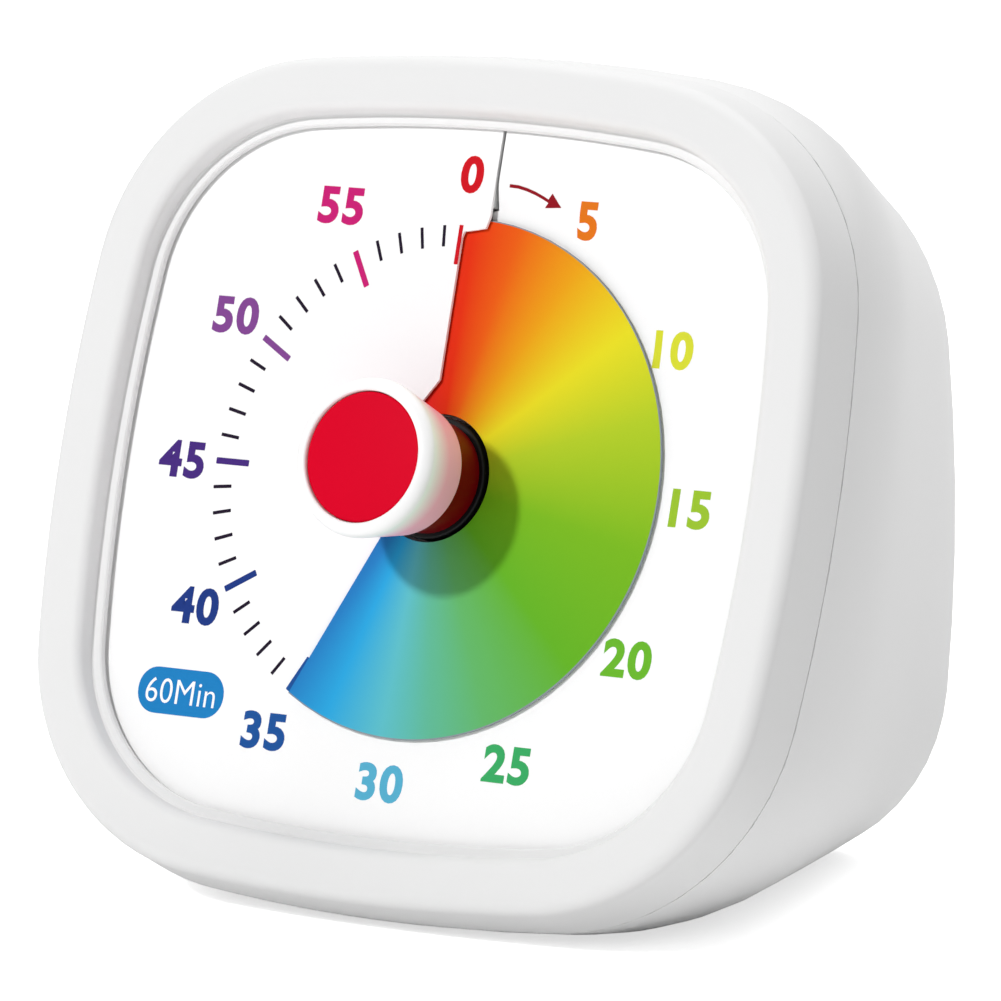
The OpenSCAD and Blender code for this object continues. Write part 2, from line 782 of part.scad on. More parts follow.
module contact_spring() {
    steps = COIL_TURNS * COIL_STEPS;
    sides = 6;
    points = [for (i = [0 : steps])
        let (t = i / steps, a = 360 * COIL_TURNS * t, r = coil_r[0] + (coil_r[1] - coil_r[0]) * t,
            x = coil_end_x + coil_l * t)
        for (j = [0 : sides - 1])
            let (b = 360 * j / sides, q = r + wire_r * cos(b))
            [x + wire_r * sin(b), bay_y + q * cos(a), -cell_s + q * sin(a)]];
    walls = [for (i = [0 : steps - 1], j = [0 : sides - 1])
        let (a = i * sides, b = a + sides, k = (j + 1) % sides)
        each [[a + j, b + j, b + k], [a + j, b + k, a + k]]];
    color("silver")
        polyhedron(points, concat(walls, [[for (j = [0 : sides - 1]) j],
            [for (j = [0 : sides - 1]) steps * sides + sides - 1 - j]]));
}

module contact_plates() {
    color("silver")
        for (x = [-bay_half_x + fit, bay_half_x - contact_t])
            block([x, bay_y - contact_half, cell_s - contact_half],
                [x + contact_t - fit, bay_y + contact_half, cell_s + contact_half]);
}

door_h = 2 * bay_half_y - 2 * clear;
RIDGES = 5;
ridge_pitch = 1.6;

module battery_door() {
    color("white")
        difference() {
            block([-door_w / 2, bay_y - door_h / 2, inner_back_s],
                [door_w / 2, bay_y + door_h / 2, body_d]);
            for (i = [0 : RIDGES - 1])
                translate([0, bay_y + door_h / 2 - 3 - ridge_pitch * i])
                    block([-6, -0.4, body_d - 0.5], [6, 0.4, body_d + 1]);
            block([-door_w / 2 + 2, bay_y - door_h / 2 + 2, inner_back_s - 1],
                [door_w / 2 - 2, bay_y + door_h / 2 - 2, inner_back_s + 0.6]);
        }
}

board_y = bay_y + bay_half_y + bay_wall + 0.9;       // lower edge of the board
buzzer_gap = 0.5;              // clearance behind the sounder
board_back_s = inner_back_s - buzzer_gap - buzzer_h;
board_post_x = board_w / 2 - 2.6;
board_post_y = [board_y + 2.6, board_y + board_h - 2.6];
board_post_r = 2;
buzzer_x = 6.6;
buzzer_y = board_y + board_h / 2;
switch_x = -7;
switch_y = buzzer_y;
slider_w = 3;
slider_h = 2.6;
slot_w = slider_w + 2 * switch_travel + 0.8;
switch_h = 3.6;
chip_at = [4, board_y + 8];
chip_r = 4.2;
chip_h = 1.4;
capacitor_at = [-6, board_y + 5];
capacitor_r = 2.5;
capacitor_h = 6;

module circuit_board() {
    color("seagreen")
        difference() {
            at(board_back_s)
                linear_extrude(board_t)
                    round_rect([-board_w / 2, board_y], [board_w / 2, board_y + board_h], 1);
            for (x = [-1, 1], y = board_post_y)
                translate([x * board_post_x, y])
                    barrel(board_back_s - board_t - EPS, board_back_s + EPS, small_screw_r + 0.2);
        }
}

module board_chip() {
    color("#202020")
        translate(chip_at)
            barrel(board_back_s - board_t - chip_h, board_back_s - board_t - 0.02, chip_r);
}

module board_capacitor() {
    color("midnightblue")
        translate(capacitor_at)
            barrel(board_back_s - board_t - capacitor_h, board_back_s - board_t - 0.02, capacitor_r);
}

module board_screws() {
    color("gray")
        for (side = [0, 1])
            translate([(2 * side - 1) * board_post_x, board_post_y[side], 0])
                at(board_back_s - board_t)
                    mirror([0, 0, 1])
                        screw(0, small_screw_r - fit, 1.8, 1.2, 5);
}

module buzzer() {
    color("#181818")
        translate([buzzer_x, buzzer_y])
            difference() {
                barrel(board_back_s + 0.02, board_back_s + buzzer_h, buzzer_r);
                barrel(board_back_s + buzzer_h - 0.8, board_back_s + buzzer_h + EPS, 1.2);
            }
}

module switch_case() {
    color("lightgray")
        difference() {
            block([switch_x - 6, switch_y - 3, board_back_s + 0.02],
                [switch_x + 6, switch_y + 3, board_back_s + switch_h]);
            block([switch_x - slot_w / 2, switch_y - slider_h / 2 - clear, board_back_s + 1],
                [switch_x + slot_w / 2, switch_y + slider_h / 2 + clear, board_back_s + switch_h + 1]);
        }
}

module switch_slider() {
    color("#222222")
        block([switch_x - slider_w / 2, switch_y - slider_h / 2, board_back_s + 1.3],
            [switch_x + slider_w / 2, switch_y + slider_h / 2, body_d + 0.7]);
}

// ---- rear shell ----------------------------------------------------------------------

BOW_STEPS = 6;
TAPER_STEPS = 4;
ROUND_STEPS = 5;
hole_r = 0.8;
hole_pitch = 3.2;

round_s = body_d - back_r * (1 - sin(side_taper));   // depth where the back's rounding starts
round_k = 1 - (round_s - taper_s) * tan(side_taper) / half_w;

function shell_rings(t) = concat(
    [for (i = [0 : BOW_STEPS]) let (s = seam_s + (taper_s - seam_s) * i / BOW_STEPS)
        [s, 1, side_in(s) + t, half_h - top_in(s) - t, share(s)]],
    [for (i = [1 : TAPER_STEPS - 1]) let (s = taper_s + (round_s - taper_s) * i / TAPER_STEPS)
        [s, 1 - (s - taper_s) * tan(side_taper) / half_w, taper_in + t, half_h - top_in(s) - t, share(s)]],
    [for (i = [0 : ROUND_STEPS])
        let (a = side_taper + (90 - side_taper) * i / ROUND_STEPS,
            round_in = back_r * cos(side_taper) - (back_r - t) * cos(a))
        [body_d - back_r + (back_r - t) * sin(a), round_k, taper_in + round_in,
            half_h - top_in(round_s) - round_in, share(body_d - back_r * (1 - sin(a)))]]);

module shell_cup() {
    outer = shell_rings(0);
    inner = shell_rings(wall);
    n = len(outer);
    loft(concat([for (i = [n - 1 : -1 : 0]) outer[i]], inner));
}

// Depth of the back's outside at a height
function back_at(y) = body_d - (y - back_lift) * tan(lean);

module rear_shell() {
    color("white")
        difference() {
            union() {
                shell_cup();
                for (x = [-1, 1], y = [-1, 1])
                    translate([x * post_x, y * post_y])
                        barrel(post_end_s + tube_gap, back_at(y * post_y) - wall / 2, tube_r);
                upright() {
                    block([-bay_half_x - bay_wall, bay_y - bay_half_y - bay_wall, bay_s - bay_wall],
                        [bay_half_x + bay_wall, bay_y + bay_half_y + bay_wall, inner_back_s + wall / 2]);
                    for (x = [-1, 1], y = board_post_y)
                        translate([x * board_post_x, y])
                            barrel(board_back_s + 0.02, inner_back_s + wall / 2, board_post_r);
                }
            }
            for (x = [-1, 1], y = [-1, 1])
                translate([x * post_x, y * post_y]) {
                    barrel(post_end_s, body_d - wall, screw_r + 0.3);
                    barrel(head_seat_s, back_at(y * post_y) + wall, 2.6);
                }
            upright() {
                block([-bay_half_x, bay_y - bay_half_y, bay_s],
                    [bay_half_x, bay_y + bay_half_y, inner_back_s]);
                block([-door_w / 2 - clear, bay_y - bay_half_y, inner_back_s - EPS],
                    [door_w / 2 + clear, bay_y + bay_half_y, body_d + 1]);
                for (x = [-1, 1], y = board_post_y)
                    translate([x * board_post_x, y])
                        barrel(board_back_s, inner_back_s, small_screw_r);
                block([switch_x - slot_w / 2, switch_y - slider_h / 2 - 0.4, inner_back_s - 1],
                    [switch_x + slot_w / 2, switch_y + slider_h / 2 + 0.4, body_d + 1]);
                translate([buzzer_x, buzzer_y]) {
                    barrel(inner_back_s - 1, body_d + 1, hole_r);
                    for (i = [0 : 5])
                        rotate(60 * i)
                            translate([hole_pitch, 0])
                                barrel(inner_back_s - 1, body_d + 1, hole_r);
                }
            }
            hooks(-0.1, hook_reach + clear, hook_w / 2 + clear, hook_s[0] - 0.15, hook_s[1] + 0.2);
            translate([0, -sole_y])
                rotate([lean, 0, 0])
                    translate([-FAR / 2, -FAR, -FAR / 2])
                        cube(FAR);
        }
}

stand() front_frame();
stand() rear_shell();
stand() dial_plate();
stand() dial_card();
stand() rainbow_disc();
stand() disc_drum();
stand() knob_stem();
stand() knob_body();
stand() knob_cap();
stand() drive_shaft();
stand() shaft_bush();
stand() clutch_spring();
stand() shaft_clip();
stand() output_wheel();
stand() idler_wheel();
stand() idler_pin();
stand() motor_pinion();
stand() motor_rotor();
stand() motor_coil();
stand() motor_can();
stand() alarm_leaf();
stand() movement_front();
stand() movement_rear();
stand() movement_screws();
stand() housing_screws();
stand() upright() circuit_board();
stand() upright() board_chip();
stand() upright() board_capacitor();
stand() upright() board_screws();
stand() upright() buzzer();
stand() upright() switch_case();
stand() upright() switch_slider();
stand() upright() battery_cell();
stand() upright() contact_spring();
stand() upright() contact_plates();
stand() upright() battery_door();
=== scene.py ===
"""A visual countdown timer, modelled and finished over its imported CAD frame.

Every piece is drawn in the dial frame: x to the right, y up the dial and z out of its
front, in metres from the point where the knob's axis meets the rim plane. DIAL then
leans it to its place.
"""

import json
import math

import bmesh
import bpy
from bpy.props import FloatProperty, FloatVectorProperty, PointerProperty
from mathutils import Matrix, Vector


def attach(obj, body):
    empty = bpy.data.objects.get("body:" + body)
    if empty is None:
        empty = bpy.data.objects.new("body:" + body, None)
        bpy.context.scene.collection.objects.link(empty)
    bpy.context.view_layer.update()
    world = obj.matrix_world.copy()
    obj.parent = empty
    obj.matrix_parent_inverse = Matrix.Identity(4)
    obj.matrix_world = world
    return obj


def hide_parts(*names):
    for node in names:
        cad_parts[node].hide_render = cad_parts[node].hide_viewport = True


bl_info = {
    "name": "Visual Countdown Timer",
    "version": (1, 0, 0),
    "blender": (4, 5, 0),
    "location": "3D View > Sidebar > Timer",
    "description": "Models and finishes the pieces of a visual countdown timer",
    "category": "Object",
}

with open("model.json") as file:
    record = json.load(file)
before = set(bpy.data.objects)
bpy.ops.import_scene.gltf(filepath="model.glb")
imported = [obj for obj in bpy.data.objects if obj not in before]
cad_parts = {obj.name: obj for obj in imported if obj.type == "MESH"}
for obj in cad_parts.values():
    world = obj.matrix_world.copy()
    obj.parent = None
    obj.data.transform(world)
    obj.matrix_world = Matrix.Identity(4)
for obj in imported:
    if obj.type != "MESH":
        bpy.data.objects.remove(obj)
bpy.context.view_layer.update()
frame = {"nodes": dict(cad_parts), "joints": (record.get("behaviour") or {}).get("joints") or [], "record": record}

MM = 0.001
WELD = 0.001 * MM  # points nearer than this are merged
KNOB_TURN = next(joint for joint in frame["joints"] if joint["name"] == "knob_turn")
HUB = Vector(KNOB_TURN["pos_m"])
LEAN = math.atan2(-KNOB_TURN["axis"][2], KNOB_TURN["axis"][1])
DIAL = Matrix.Translation(HUB) @ Matrix.Rotation(math.pi / 2 - LEAN, 4, "X")
SLOTS = {part["node"]: part["material_slot"] for part in frame["record"]["subparts"]}


def tint(code):
    """The linear colour of a web colour code."""
    channels = [int(code[i:i + 2], 16) / 255 for i in (1, 3, 5)]
    return tuple(c / 12.92 if c <= 0.04045 else ((c + 0.055) / 1.055) ** 2.4 for c in channels) + (1.0,)


# ---- sizes and colours ----


def length(name, description, default):
    """A size property, given in millimetres."""
    return FloatProperty(name=name, description=description, default=default * MM, unit="LENGTH", precision=5)


def colour(name, description, code):
    """A colour property, given as a web colour code."""
    return FloatVectorProperty(name=name, description=description, default=tint(code), size=4,
                               min=0.0, max=1.0, subtype="COLOR")


class TimerSizes(bpy.types.PropertyGroup):
    """Sizes of the timer's visible pieces."""

    body_w: length("Housing width", "Width of the widest section", 86)
    body_h: length("Housing height", "Height of the widest section", 83.4)
    corner_r: length("Corner radius", "Corner radius of the widest section", 24.8)
    side_r: length("Side bow", "Radius of each side's slight bow", 193)
    dial_up: length("Dial rise", "Height of the dial axis above the middle", 0.5)
    seam_s: length("Seam depth", "Depth of the seam behind the rim", 6.4)
    seam_in: length("Seam inset", "Seam's inset from the widest section", 0.15)
    seam_gap: length("Seam groove", "Width of the fine groove at the seam", 0.18)
    face_in: length("Face inset", "Face's inset from the widest section", 2.6)
    face_r: length("Face edge", "Radius of the outer edge of the face", 1.6)
    face_w: length("Face width", "Width of the face round the window", 2.9)
    window_r: length("Window edge", "Radius of the window's inner edge", 1.0)
    window_s: length("Window depth", "Depth of the window's wall", 3.0)
    skirt_t: length("Window wall", "Thickness of the window's wall", 1.3)
    sill_w: length("Ledge width", "Width of the ledge inside the window", 1.1)
    sill_t: length("Ledge thickness", "Thickness of that ledge", 0.7)
    wall: length("Shell wall", "Wall thickness of the rear shell", 2.2)
    tongue_h: length("Tongue height", "Height of the frame's tongue", 2.0)
    tongue_t: length("Tongue thickness", "Thickness of that tongue", 1.0)
    tongue_fit: length("Tongue fit", "Gap between the tongue and the rear shell", 0.15)
    channel_s: length("Channel depth", "Depth of the channel behind the face", 2.2)
    hook_w: length("Hook width", "Width of each of the four snap hooks", 8)
    hook_t: length("Hook catch", "Reach of each hook beyond the tongue", 0.8)
    card_s: length("Card depth", "Depth of the card right of its slit", 4.25)
    card_t: length("Card thickness", "Thickness of the printed card", 0.3)
    climb: length("Climb", "Rise of the card over one turn", 1.0)
    slit_x: length("Slit, outer part", "The slit's outer part, right of the dial's middle", 2.1)
    zero_x: length("Slit, inner part", "The slit's inner part, left of the dial's middle", 0.65)
    slit_w: length("Slit width", "Width of the slit at the disc", 0.5)
    line_w: length("Slit line", "Width of the slit outside the disc", 0.32)
    hole_r: length("Card hole", "Radius of the card's hole", 6.6)
    chamfer_r: length("Slit chamfer", "Radius where the slit's left side bends", 9.4)
    card_gap: length("Card gap", "Gap between the card and the tongue", 0.45)
    mark_r: length("Mark radius", "Outer radius of the minute marks", 24.6)
    fine_mark_l: length("Fine mark length", "Length of the single-minute marks", 2.0664)
    fine_mark_w: length("Fine mark width", "Width of the single-minute marks", 0.33)
    bold_mark_l: length("Bold mark length", "Length of the five-minute marks", 3.813)
    bold_mark_w: length("Bold mark width", "Width of the five-minute marks", 0.62)
    zero_mark_w: length("Zero mark width", "Width of the mark beside the slit", 0.44)
    numeral_h: length("Numeral height", "Height of the dial numerals", 3.66)
    disc_r: length("Disc radius", "Radius of the rainbow disc", 25.1)
    knob_r: length("Knob radius", "Radius of the knob's front lip", 7.6)
    knob_rear_r: length("Knob rear radius", "Radius of the knob at its rear rim", 6.35)
    knob_l: length("Knob length", "Length of the white knob", 7.9)
    knob_out: length("Knob reach", "Reach of the knob in front of the rim", 9.4)
    lip_r: length("Knob lip", "Rounding of the knob's front lip", 1.1)
    cap_r: length("Cap radius", "Radius of the red cap", 6.2)
    cap_t: length("Cap thickness", "Thickness of the red cap", 1.3)
    cap_sink: length("Cap sink", "How far the cap lies below the lip", 0.3)
    cap_gap: length("Cap gap", "Gap round the cap", 0.08)
    core_r: length("Core radius", "Radius of the stem inside the knob", 4.2)
    stem_r: length("Stem radius", "Radius of the red stem", 5.4)
    drum_r: length("Drum radius", "Radius of the black drum", 5.9)
    drum_s: length("Drum depth", "Depth of the drum's back", 5.005)
    drum_h: length("Drum height", "Height of the drum", 2.1)
    shaft_r: length("Shaft radius", "Radius of the steel shaft", 1.5)


class TimerColours(bpy.types.PropertyGroup):
    """Colours of the timer's visible pieces."""

    shell: colour("Housing", "Matte plastic of the housing", "#e8e8e8")
    card: colour("Card", "Printed card", "#fbfbfb")
    knob: colour("Knob", "Satin plastic of the knob", "#f6f6f6")
    cap: colour("Cap", "Satin plastic of the knob's cap", "#d80026")
    # Painted shade: red plastic whose colour is darkened for the shade the stem sits in behind the knob
    stem: colour("Stem", "Glossy plastic of the stem", "#700008")
    drum: colour("Drum", "Black plastic of the drum", "#070709")
    fine_ink: colour("Fine marks", "Ink of the single minutes", "#1d1226")
    arrow_ink: colour("Arrow", "Ink of the arrow", "#8e1420")
    badge: colour("Badge", "Ground of the badge", "#1f7fc0")
    badge_text: colour("Badge text", "Ink of the badge's text", "#ffffff")
    # Grey of the disc's cut edge, also used as painted shade along its rim
    disc_edge: colour("Disc edge", "Cut edge of the rainbow disc", "#8a9299")
    # Painted reflection: pink painted on the knob's white side for the light of its red parts
    blush: colour("Knob blush", "Tint of the knob's side from the red inside", "#fbb2cc")


RAINBOW = [
    (0, "#e2300c"), (2, "#e85c0e"), (5, "#eaa012"), (8.5, "#e6dc22"), (12, "#b0ca26"), (17, "#76b41c"),
    (22, "#60ae22"), (26, "#60b266"), (28.5, "#5eb696"), (30.5, "#5cbcc6"), (33, "#2aa4dc"), (35, "#267cc0"),
    (40, "#1c4598"), (45, "#4b2b85"), (50, "#863f9a"), (54, "#d22c80"), (57, "#e22420"), (60, "#e2300c"),
]
NUMERAL_INKS = ["#cc101e", "#e0741a", "#d6da36", "#98c030", "#68b42c", "#3aa862", "#56aece", "#1f5298",
                "#1f3880", "#452a7a", "#80458f", "#c61e72"]

# Centre of each numeral on the card, in millimetres
NUMERALS = {0: (-0.8, 29.2), 5: (12.7, 25.6), 10: (24.1, 14.1), 15: (28.5, -0.6), 20: (24.2, -15.1),
            25: (12.9, -26.2), 30: (-0.8, -29.3), 35: (-14.8, -25.7), 40: (-24.9, -14.5), 45: (-29.1, -0.5),
            50: (-25.4, 13.9), 55: (-15.2, 25.3)}
PRINT_OFF = Vector((-0.47, -0.3)) * MM  # centre of the minute marks, beside the axis
ZERO_ASIDE = -0.66 * MM  # the zero mark stands this far beside its minute
INK_T = 0.02 * MM  # thickness of the ink
PRINT_GRID = 0.5 * MM  # the print is cut along this grid to follow the card

# Arrow's shaft and head, and the badge's middle and size, in millimetres
ARROW_SHAFT = [(3.55, 28.4), (4.55, 28.35), (5.55, 28.15), (6.55, 27.85), (7.45, 27.5), (8.1, 27.2)]
ARROW_HEAD = [(8.45, 27.95), (9.6, 26.65), (7.65, 26.55)]
ARROW_W = 0.32
BADGE_AT = (-25.0, -22.95)
BADGE_SIZE = (10.0, 4.5)
BADGE_TEXT = "60Min"
BADGE_TEXT_H = 2.4 * MM

# Where the card's low side bends up outside the disc: radii outside the disc's edge, the
# turn over which it fades, in degrees, and its share of the climb
BEND_START, BEND_END = 0.3 * MM, 4.0 * MM
BEND_TURN = 110
BEND_SHARE = 0.93
JOG_IN, JOG_W = 2.0 * MM, 1.9 * MM  # the slit jogs this far inside the disc's edge
CHAMFER_TURN = 31  # turn of the slit's left side at the hole, in degrees
CARD_MID_R = 16 * MM  # one more ring between the hole and the jog
CARD_LAP = 0.9 * MM  # how far the low side reaches under the high side
FLAT_ANGLE, BEVEL_ANGLE = 0.6, 50  # CAD faces are joined below and edges eased above these
HOOK_EASE = 0.12 * MM
FILM_EDGE_AND_SHADE = 0.13 * MM  # width of the grey band along the disc's rim, its cut edge together with painted shade
REFLECTION_START, REFLECTION_FADE_L = 1.2 * MM, 3.5 * MM  # painted pink reflection on the knob's side: its depth behind the knob's front, and length of the fade


# ---- modelling ----


def fresh():
    """Goes back to object mode with nothing selected."""
    if bpy.context.object and bpy.context.object.mode != "OBJECT":
        bpy.ops.object.mode_set(mode="OBJECT")
    bpy.ops.object.select_all(action="DESELECT")


def pick(piece):
    """Selects one piece and makes it active."""
    fresh()
    piece.select_set(True)
    bpy.context.view_layer.objects.active = piece


def named(name):
    """Names the active object and its mesh."""
    piece = bpy.context.object
    piece.name = name
    piece.data.name = name
    return piece


def smooth(piece, angle):
    """Turns the normals outwards and smooths all edges flatter than an angle in degrees."""
    pick(piece)
    bpy.ops.object.mode_set(mode="EDIT")
    bpy.ops.mesh.select_all(action="SELECT")
    bpy.ops.mesh.normals_make_consistent(inside=False)
    bpy.ops.object.mode_set(mode="OBJECT")
    bpy.ops.object.shade_smooth_by_angle(angle=math.radians(angle))
    return piece


def modified(piece, kind, **settings):
    """Adds a modifier and applies it."""
    pick(piece)
    modifier = piece.modifiers.new(kind.lower(), kind)
    for key, value in settings.items():
        setattr(modifier, key, value)
    bpy.ops.object.modifier_apply(modifier=modifier.name)
    return piece


def lean_back(piece):
    """Puts a piece drawn in the dial frame at its place, and applies that place to its mesh."""
    pick(piece)
    piece.matrix_world = DIAL
    bpy.ops.object.transform_apply(location=True, rotation=True, scale=True)
    return piece


def settle(piece, body, slot, finish, *nodes):
    """Gives a finished piece its material and body, and hides the CAD nodes that it stands for; the slot is not
    used.
    """
    piece.data.materials.clear()
    piece.data.materials.append(finish)
    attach(piece, body)
    if nodes:
        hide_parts(*nodes)
    return piece


def outline(sizes, inset, corner_steps=26, side_steps=12):
    """Points of a bowed, round-cornered section moved in by inset."""
    half, half_h = sizes.body_w / 2, sizes.body_h / 2
    m, q = sizes.side_r - half, sizes.side_r - sizes.corner_r
    centre = (math.sqrt(4 * m * m - 8 * (m * m - q * q)) - 2 * m) / 4
    turn = math.atan2(centre, centre + m)
    squeeze = (half_h - inset) / (half - inset)
    quarter = []
    for i in range(side_steps):
        a, r = turn * (2 * i / side_steps - 1), sizes.side_r - inset
        quarter.append((half - sizes.side_r + r * math.cos(a), r * math.sin(a)))
    for i in range(corner_steps):
        a, r = turn + (math.pi / 2 - 2 * turn) * i / corner_steps, sizes.corner_r - inset
        quarter.append((centre + r * math.cos(a), centre + r * math.sin(a)))
    points = []
    for c, s in ((1, 0), (0, 1), (-1, 0), (0, -1)):
        points += [(c * x - s * y, (s * x + c * y) * squeeze - sizes.dial_up) for x, y in quarter]
    return points


def loft(name, rings):
    """Extrudes a loop from ring to ring and back to the first one, so that the ring closes."""
    fresh()
    bpy.ops.mesh.primitive_circle_add(vertices=len(rings[0]), radius=MM)
    piece = named(name)
    bpy.ops.object.mode_set(mode="EDIT")
    bpy.ops.mesh.select_mode(type="VERT")
    bpy.ops.mesh.select_all(action="SELECT")
    mesh = bmesh.from_edit_mesh(piece.data)
    mesh.verts.ensure_lookup_table()
    for vert, point in zip(mesh.verts, rings[0]):
        vert.co = point
    here = {tuple(vert.co): i for i, vert in enumerate(mesh.verts)}
    bmesh.update_edit_mesh(piece.data)
    for ring in rings[1:]:
        bpy.ops.mesh.extrude_region_move()
        mesh = bmesh.from_edit_mesh(piece.data)
        there = {}
        for vert in [v for v in mesh.verts if v.select]:
            i = here[tuple(vert.co)]
            vert.co = ring[i]
            there[tuple(vert.co)] = i
        here = there
        bmesh.update_edit_mesh(piece.data)
    bpy.ops.mesh.select_all(action="DESELECT")
    bpy.ops.mesh.select_non_manifold(extend=False, use_wire=False, use_multi_face=False,
                                     use_non_contiguous=False, use_verts=False)
    bpy.ops.mesh.bridge_edge_loops()
    bpy.ops.object.mode_set(mode="OBJECT")
    return piece


def turned(name, profile, steps=96):
    """Spins a profile of (radius, height) points about the dial axis.

    A profile that starts and ends on the axis is left open there, and any other is closed first.
    """
    fresh()
    bpy.ops.mesh.primitive_plane_add(size=MM)
    piece = named(name)
    bpy.ops.object.mode_set(mode="EDIT")
    bpy.ops.mesh.select_mode(type="VERT")
    bpy.ops.mesh.select_all(action="SELECT")
    bpy.ops.mesh.merge(type="CENTER")
    at = Vector((profile[0][0], 0, profile[0][1]))
    bpy.ops.transform.translate(value=at)
    ends = list(profile[1:]) + ([] if profile[0][0] == 0 and profile[-1][0] == 0 else [profile[0]])
    for radius, height in ends:
        move = Vector((radius, 0, height)) - at
        bpy.ops.mesh.extrude_vertices_move(TRANSFORM_OT_translate={"value": move})
        at = at + move
    bpy.ops.mesh.select_all(action="SELECT")
    bpy.ops.mesh.remove_doubles(threshold=WELD)
    bpy.ops.mesh.spin(steps=steps, angle=2 * math.pi, center=(0, 0, 0), axis=(0, 0, 1))
    bpy.ops.mesh.select_all(action="SELECT")
    bpy.ops.mesh.remove_doubles(threshold=WELD)
    bpy.ops.object.mode_set(mode="OBJECT")
    return piece


def arc(centre, radius, start, end, steps=6):
    """Points of an arc in a profile, with angles in degrees from the radius direction."""
    angles = [math.radians(start + (end - start) * i / steps) for i in range(steps + 1)]
    return [(centre[0] + radius * math.cos(a), centre[1] + radius * math.sin(a)) for a in angles]


def refined(node, name, bevel=0.0, angle=32):
    """A copy of a CAD solid, merged, its flat faces joined, its sharp edges eased and smoothed."""
    fresh()
    source = frame["nodes"][node]
    piece = source.copy()
    piece.data = source.data.copy()
    bpy.context.scene.collection.objects.link(piece)
    piece.parent = None
    piece.matrix_world = Matrix.Identity(4)
    for key in list(piece.keys()):
        del piece[key]
    piece.name = piece.data.name = name
    pick(piece)
    bpy.ops.object.mode_set(mode="EDIT")
    bpy.ops.mesh.select_all(action="SELECT")
    bpy.ops.mesh.remove_doubles(threshold=WELD)
    bpy.ops.mesh.customdata_custom_splitnormals_clear()
    if bevel:
        bpy.ops.mesh.dissolve_limited(angle_limit=math.radians(FLAT_ANGLE))
    bpy.ops.object.mode_set(mode="OBJECT")
    if bevel:
        modified(piece, "BEVEL", width=bevel, segments=3, limit_method="ANGLE",
                 angle_limit=math.radians(BEVEL_ANGLE), use_clamp_overlap=True)
    return smooth(piece, angle)


def tongue_inset(sizes):
    """How far the tongue's outside lies inside the widest section."""
    return sizes.seam_in + sizes.wall + sizes.tongue_fit


def frame_inset(sizes):
    """How far the tongue's inside lies inside the widest section."""
    return tongue_inset(sizes) + sizes.tongue_t


def step(value, start, end):
    """A soft step from 0 at start to 1 at end."""
    share = min(1.0, max(0.0, (value - start) / (end - start)))
    return share * share * (3 - 2 * share)


def card_height(sizes, r, clock):
    """Height of the card's middle at a radius and a clock angle, which counts on from its slit.

    The card is a spiral of one turn, and outside the disc its low side bends up to its high side.
    """
    bend = step(r, sizes.disc_r + BEND_START, sizes.disc_r + BEND_END) * (1 - step(clock, 0, BEND_TURN))
    return sizes.climb * (clock / 360 + BEND_SHARE * bend) - sizes.card_s


def card_top(sizes, x, y):
    """Height of the card's front at a point."""
    r, clock = math.hypot(x, y), math.degrees(math.atan2(x, y))
    jog = min(1.0, max(0.0, (r - sizes.disc_r + JOG_IN) / JOG_W))
    slit = -sizes.zero_x + (sizes.slit_x + sizes.zero_x) * jog
    if (y > 0 and x < slit) or (y <= 0 and x < 0):
        clock += 360
    return card_height(sizes, r, clock) + sizes.card_t / 2


def reach(points, clock):
    """Distance from the dial's axis to an outline at a clock angle in degrees."""
    way = Vector((math.sin(math.radians(clock)), math.cos(math.radians(clock))))
    for a, b in zip(points, points[1:] + points[:1]):
        a, edge = Vector(a), Vector(b) - Vector(a)
        across = way.cross(edge)
        if across and 0 <= a.cross(way) / across <= 1 and a.cross(edge) / across > 0:
            return a.cross(edge) / across
    raise ValueError("the outline doesn't go round the axis")


def card_rings(sizes):
    """The card's rings from its hole to its rim: radius, slit's right and left side, half slit.

    The rim's radius is None, because the rim follows the housing's outline.
    """
    zero, slit, jog_r = -sizes.zero_x, sizes.slit_x, sizes.disc_r - JOG_IN
    chamfer_x = -sizes.hole_r * math.sin(math.radians(CHAMFER_TURN))
    inner = [(sizes.hole_r, zero, chamfer_x), (sizes.chamfer_r, zero, zero), (CARD_MID_R, zero, zero),
             (jog_r, zero, zero), (jog_r + 0.6 * MM, 0, 0.75 * zero),
             (jog_r + 0.85 * MM, 0.25 * slit, 0.45 * slit), (jog_r + 1.1 * MM, 0.5 * slit, 0.9 * slit),
             (jog_r + JOG_W, slit, slit)]
    # Just outside the disc the low side reaches under the high side
    under = [(sizes.disc_r + out * MM, slit - CARD_LAP, slit) for out in (0.3, 0.8)]
    outer = [(sizes.disc_r + out * MM, slit, slit) for out in (1.1, 1.4, 1.8, 2.4, 3.0, 3.6, 4.2, 5.5, 7.5)]
    return ([(*ring, sizes.slit_w / 2) for ring in inner]
            + [(*ring, sizes.line_w / 2) for ring in under + outer + [(None, slit, slit)]])


def spiral_card(sizes, name, inset, columns=180):
    """The card as a soft sheet: rings that run from its slit's right side round to its left side."""
    rings = card_rings(sizes)
    edge = outline(sizes, inset)
    rim_r = sizes.body_h / 2 - inset
    fresh()
    bpy.ops.mesh.primitive_grid_add(x_subdivisions=columns, y_subdivisions=len(rings) - 1, size=1)
    piece = named(name)
    for vert in piece.data.vertices:
        r, right, left, half = rings[round((vert.co.y + 0.5) * (len(rings) - 1))]
        start = math.degrees(math.asin((right + half) / (r or rim_r)))
        end = 360 + math.degrees(math.asin((left - half) / (r or rim_r)))
        clock = start + (end - start) * (vert.co.x + 0.5)
        r = r or reach(edge, clock)
        vert.co = (r * math.sin(math.radians(clock)), r * math.cos(math.radians(clock)),
                   card_height(sizes, r, clock))
    return modified(smooth(piece, 60), "SOLIDIFY", thickness=sizes.card_t, offset=0)


def extent(mesh, axis):
    """The lowest and highest coordinate of a mesh on an axis."""
    places = [vert.co[axis] for vert in mesh.vertices]
    return min(places), max(places)


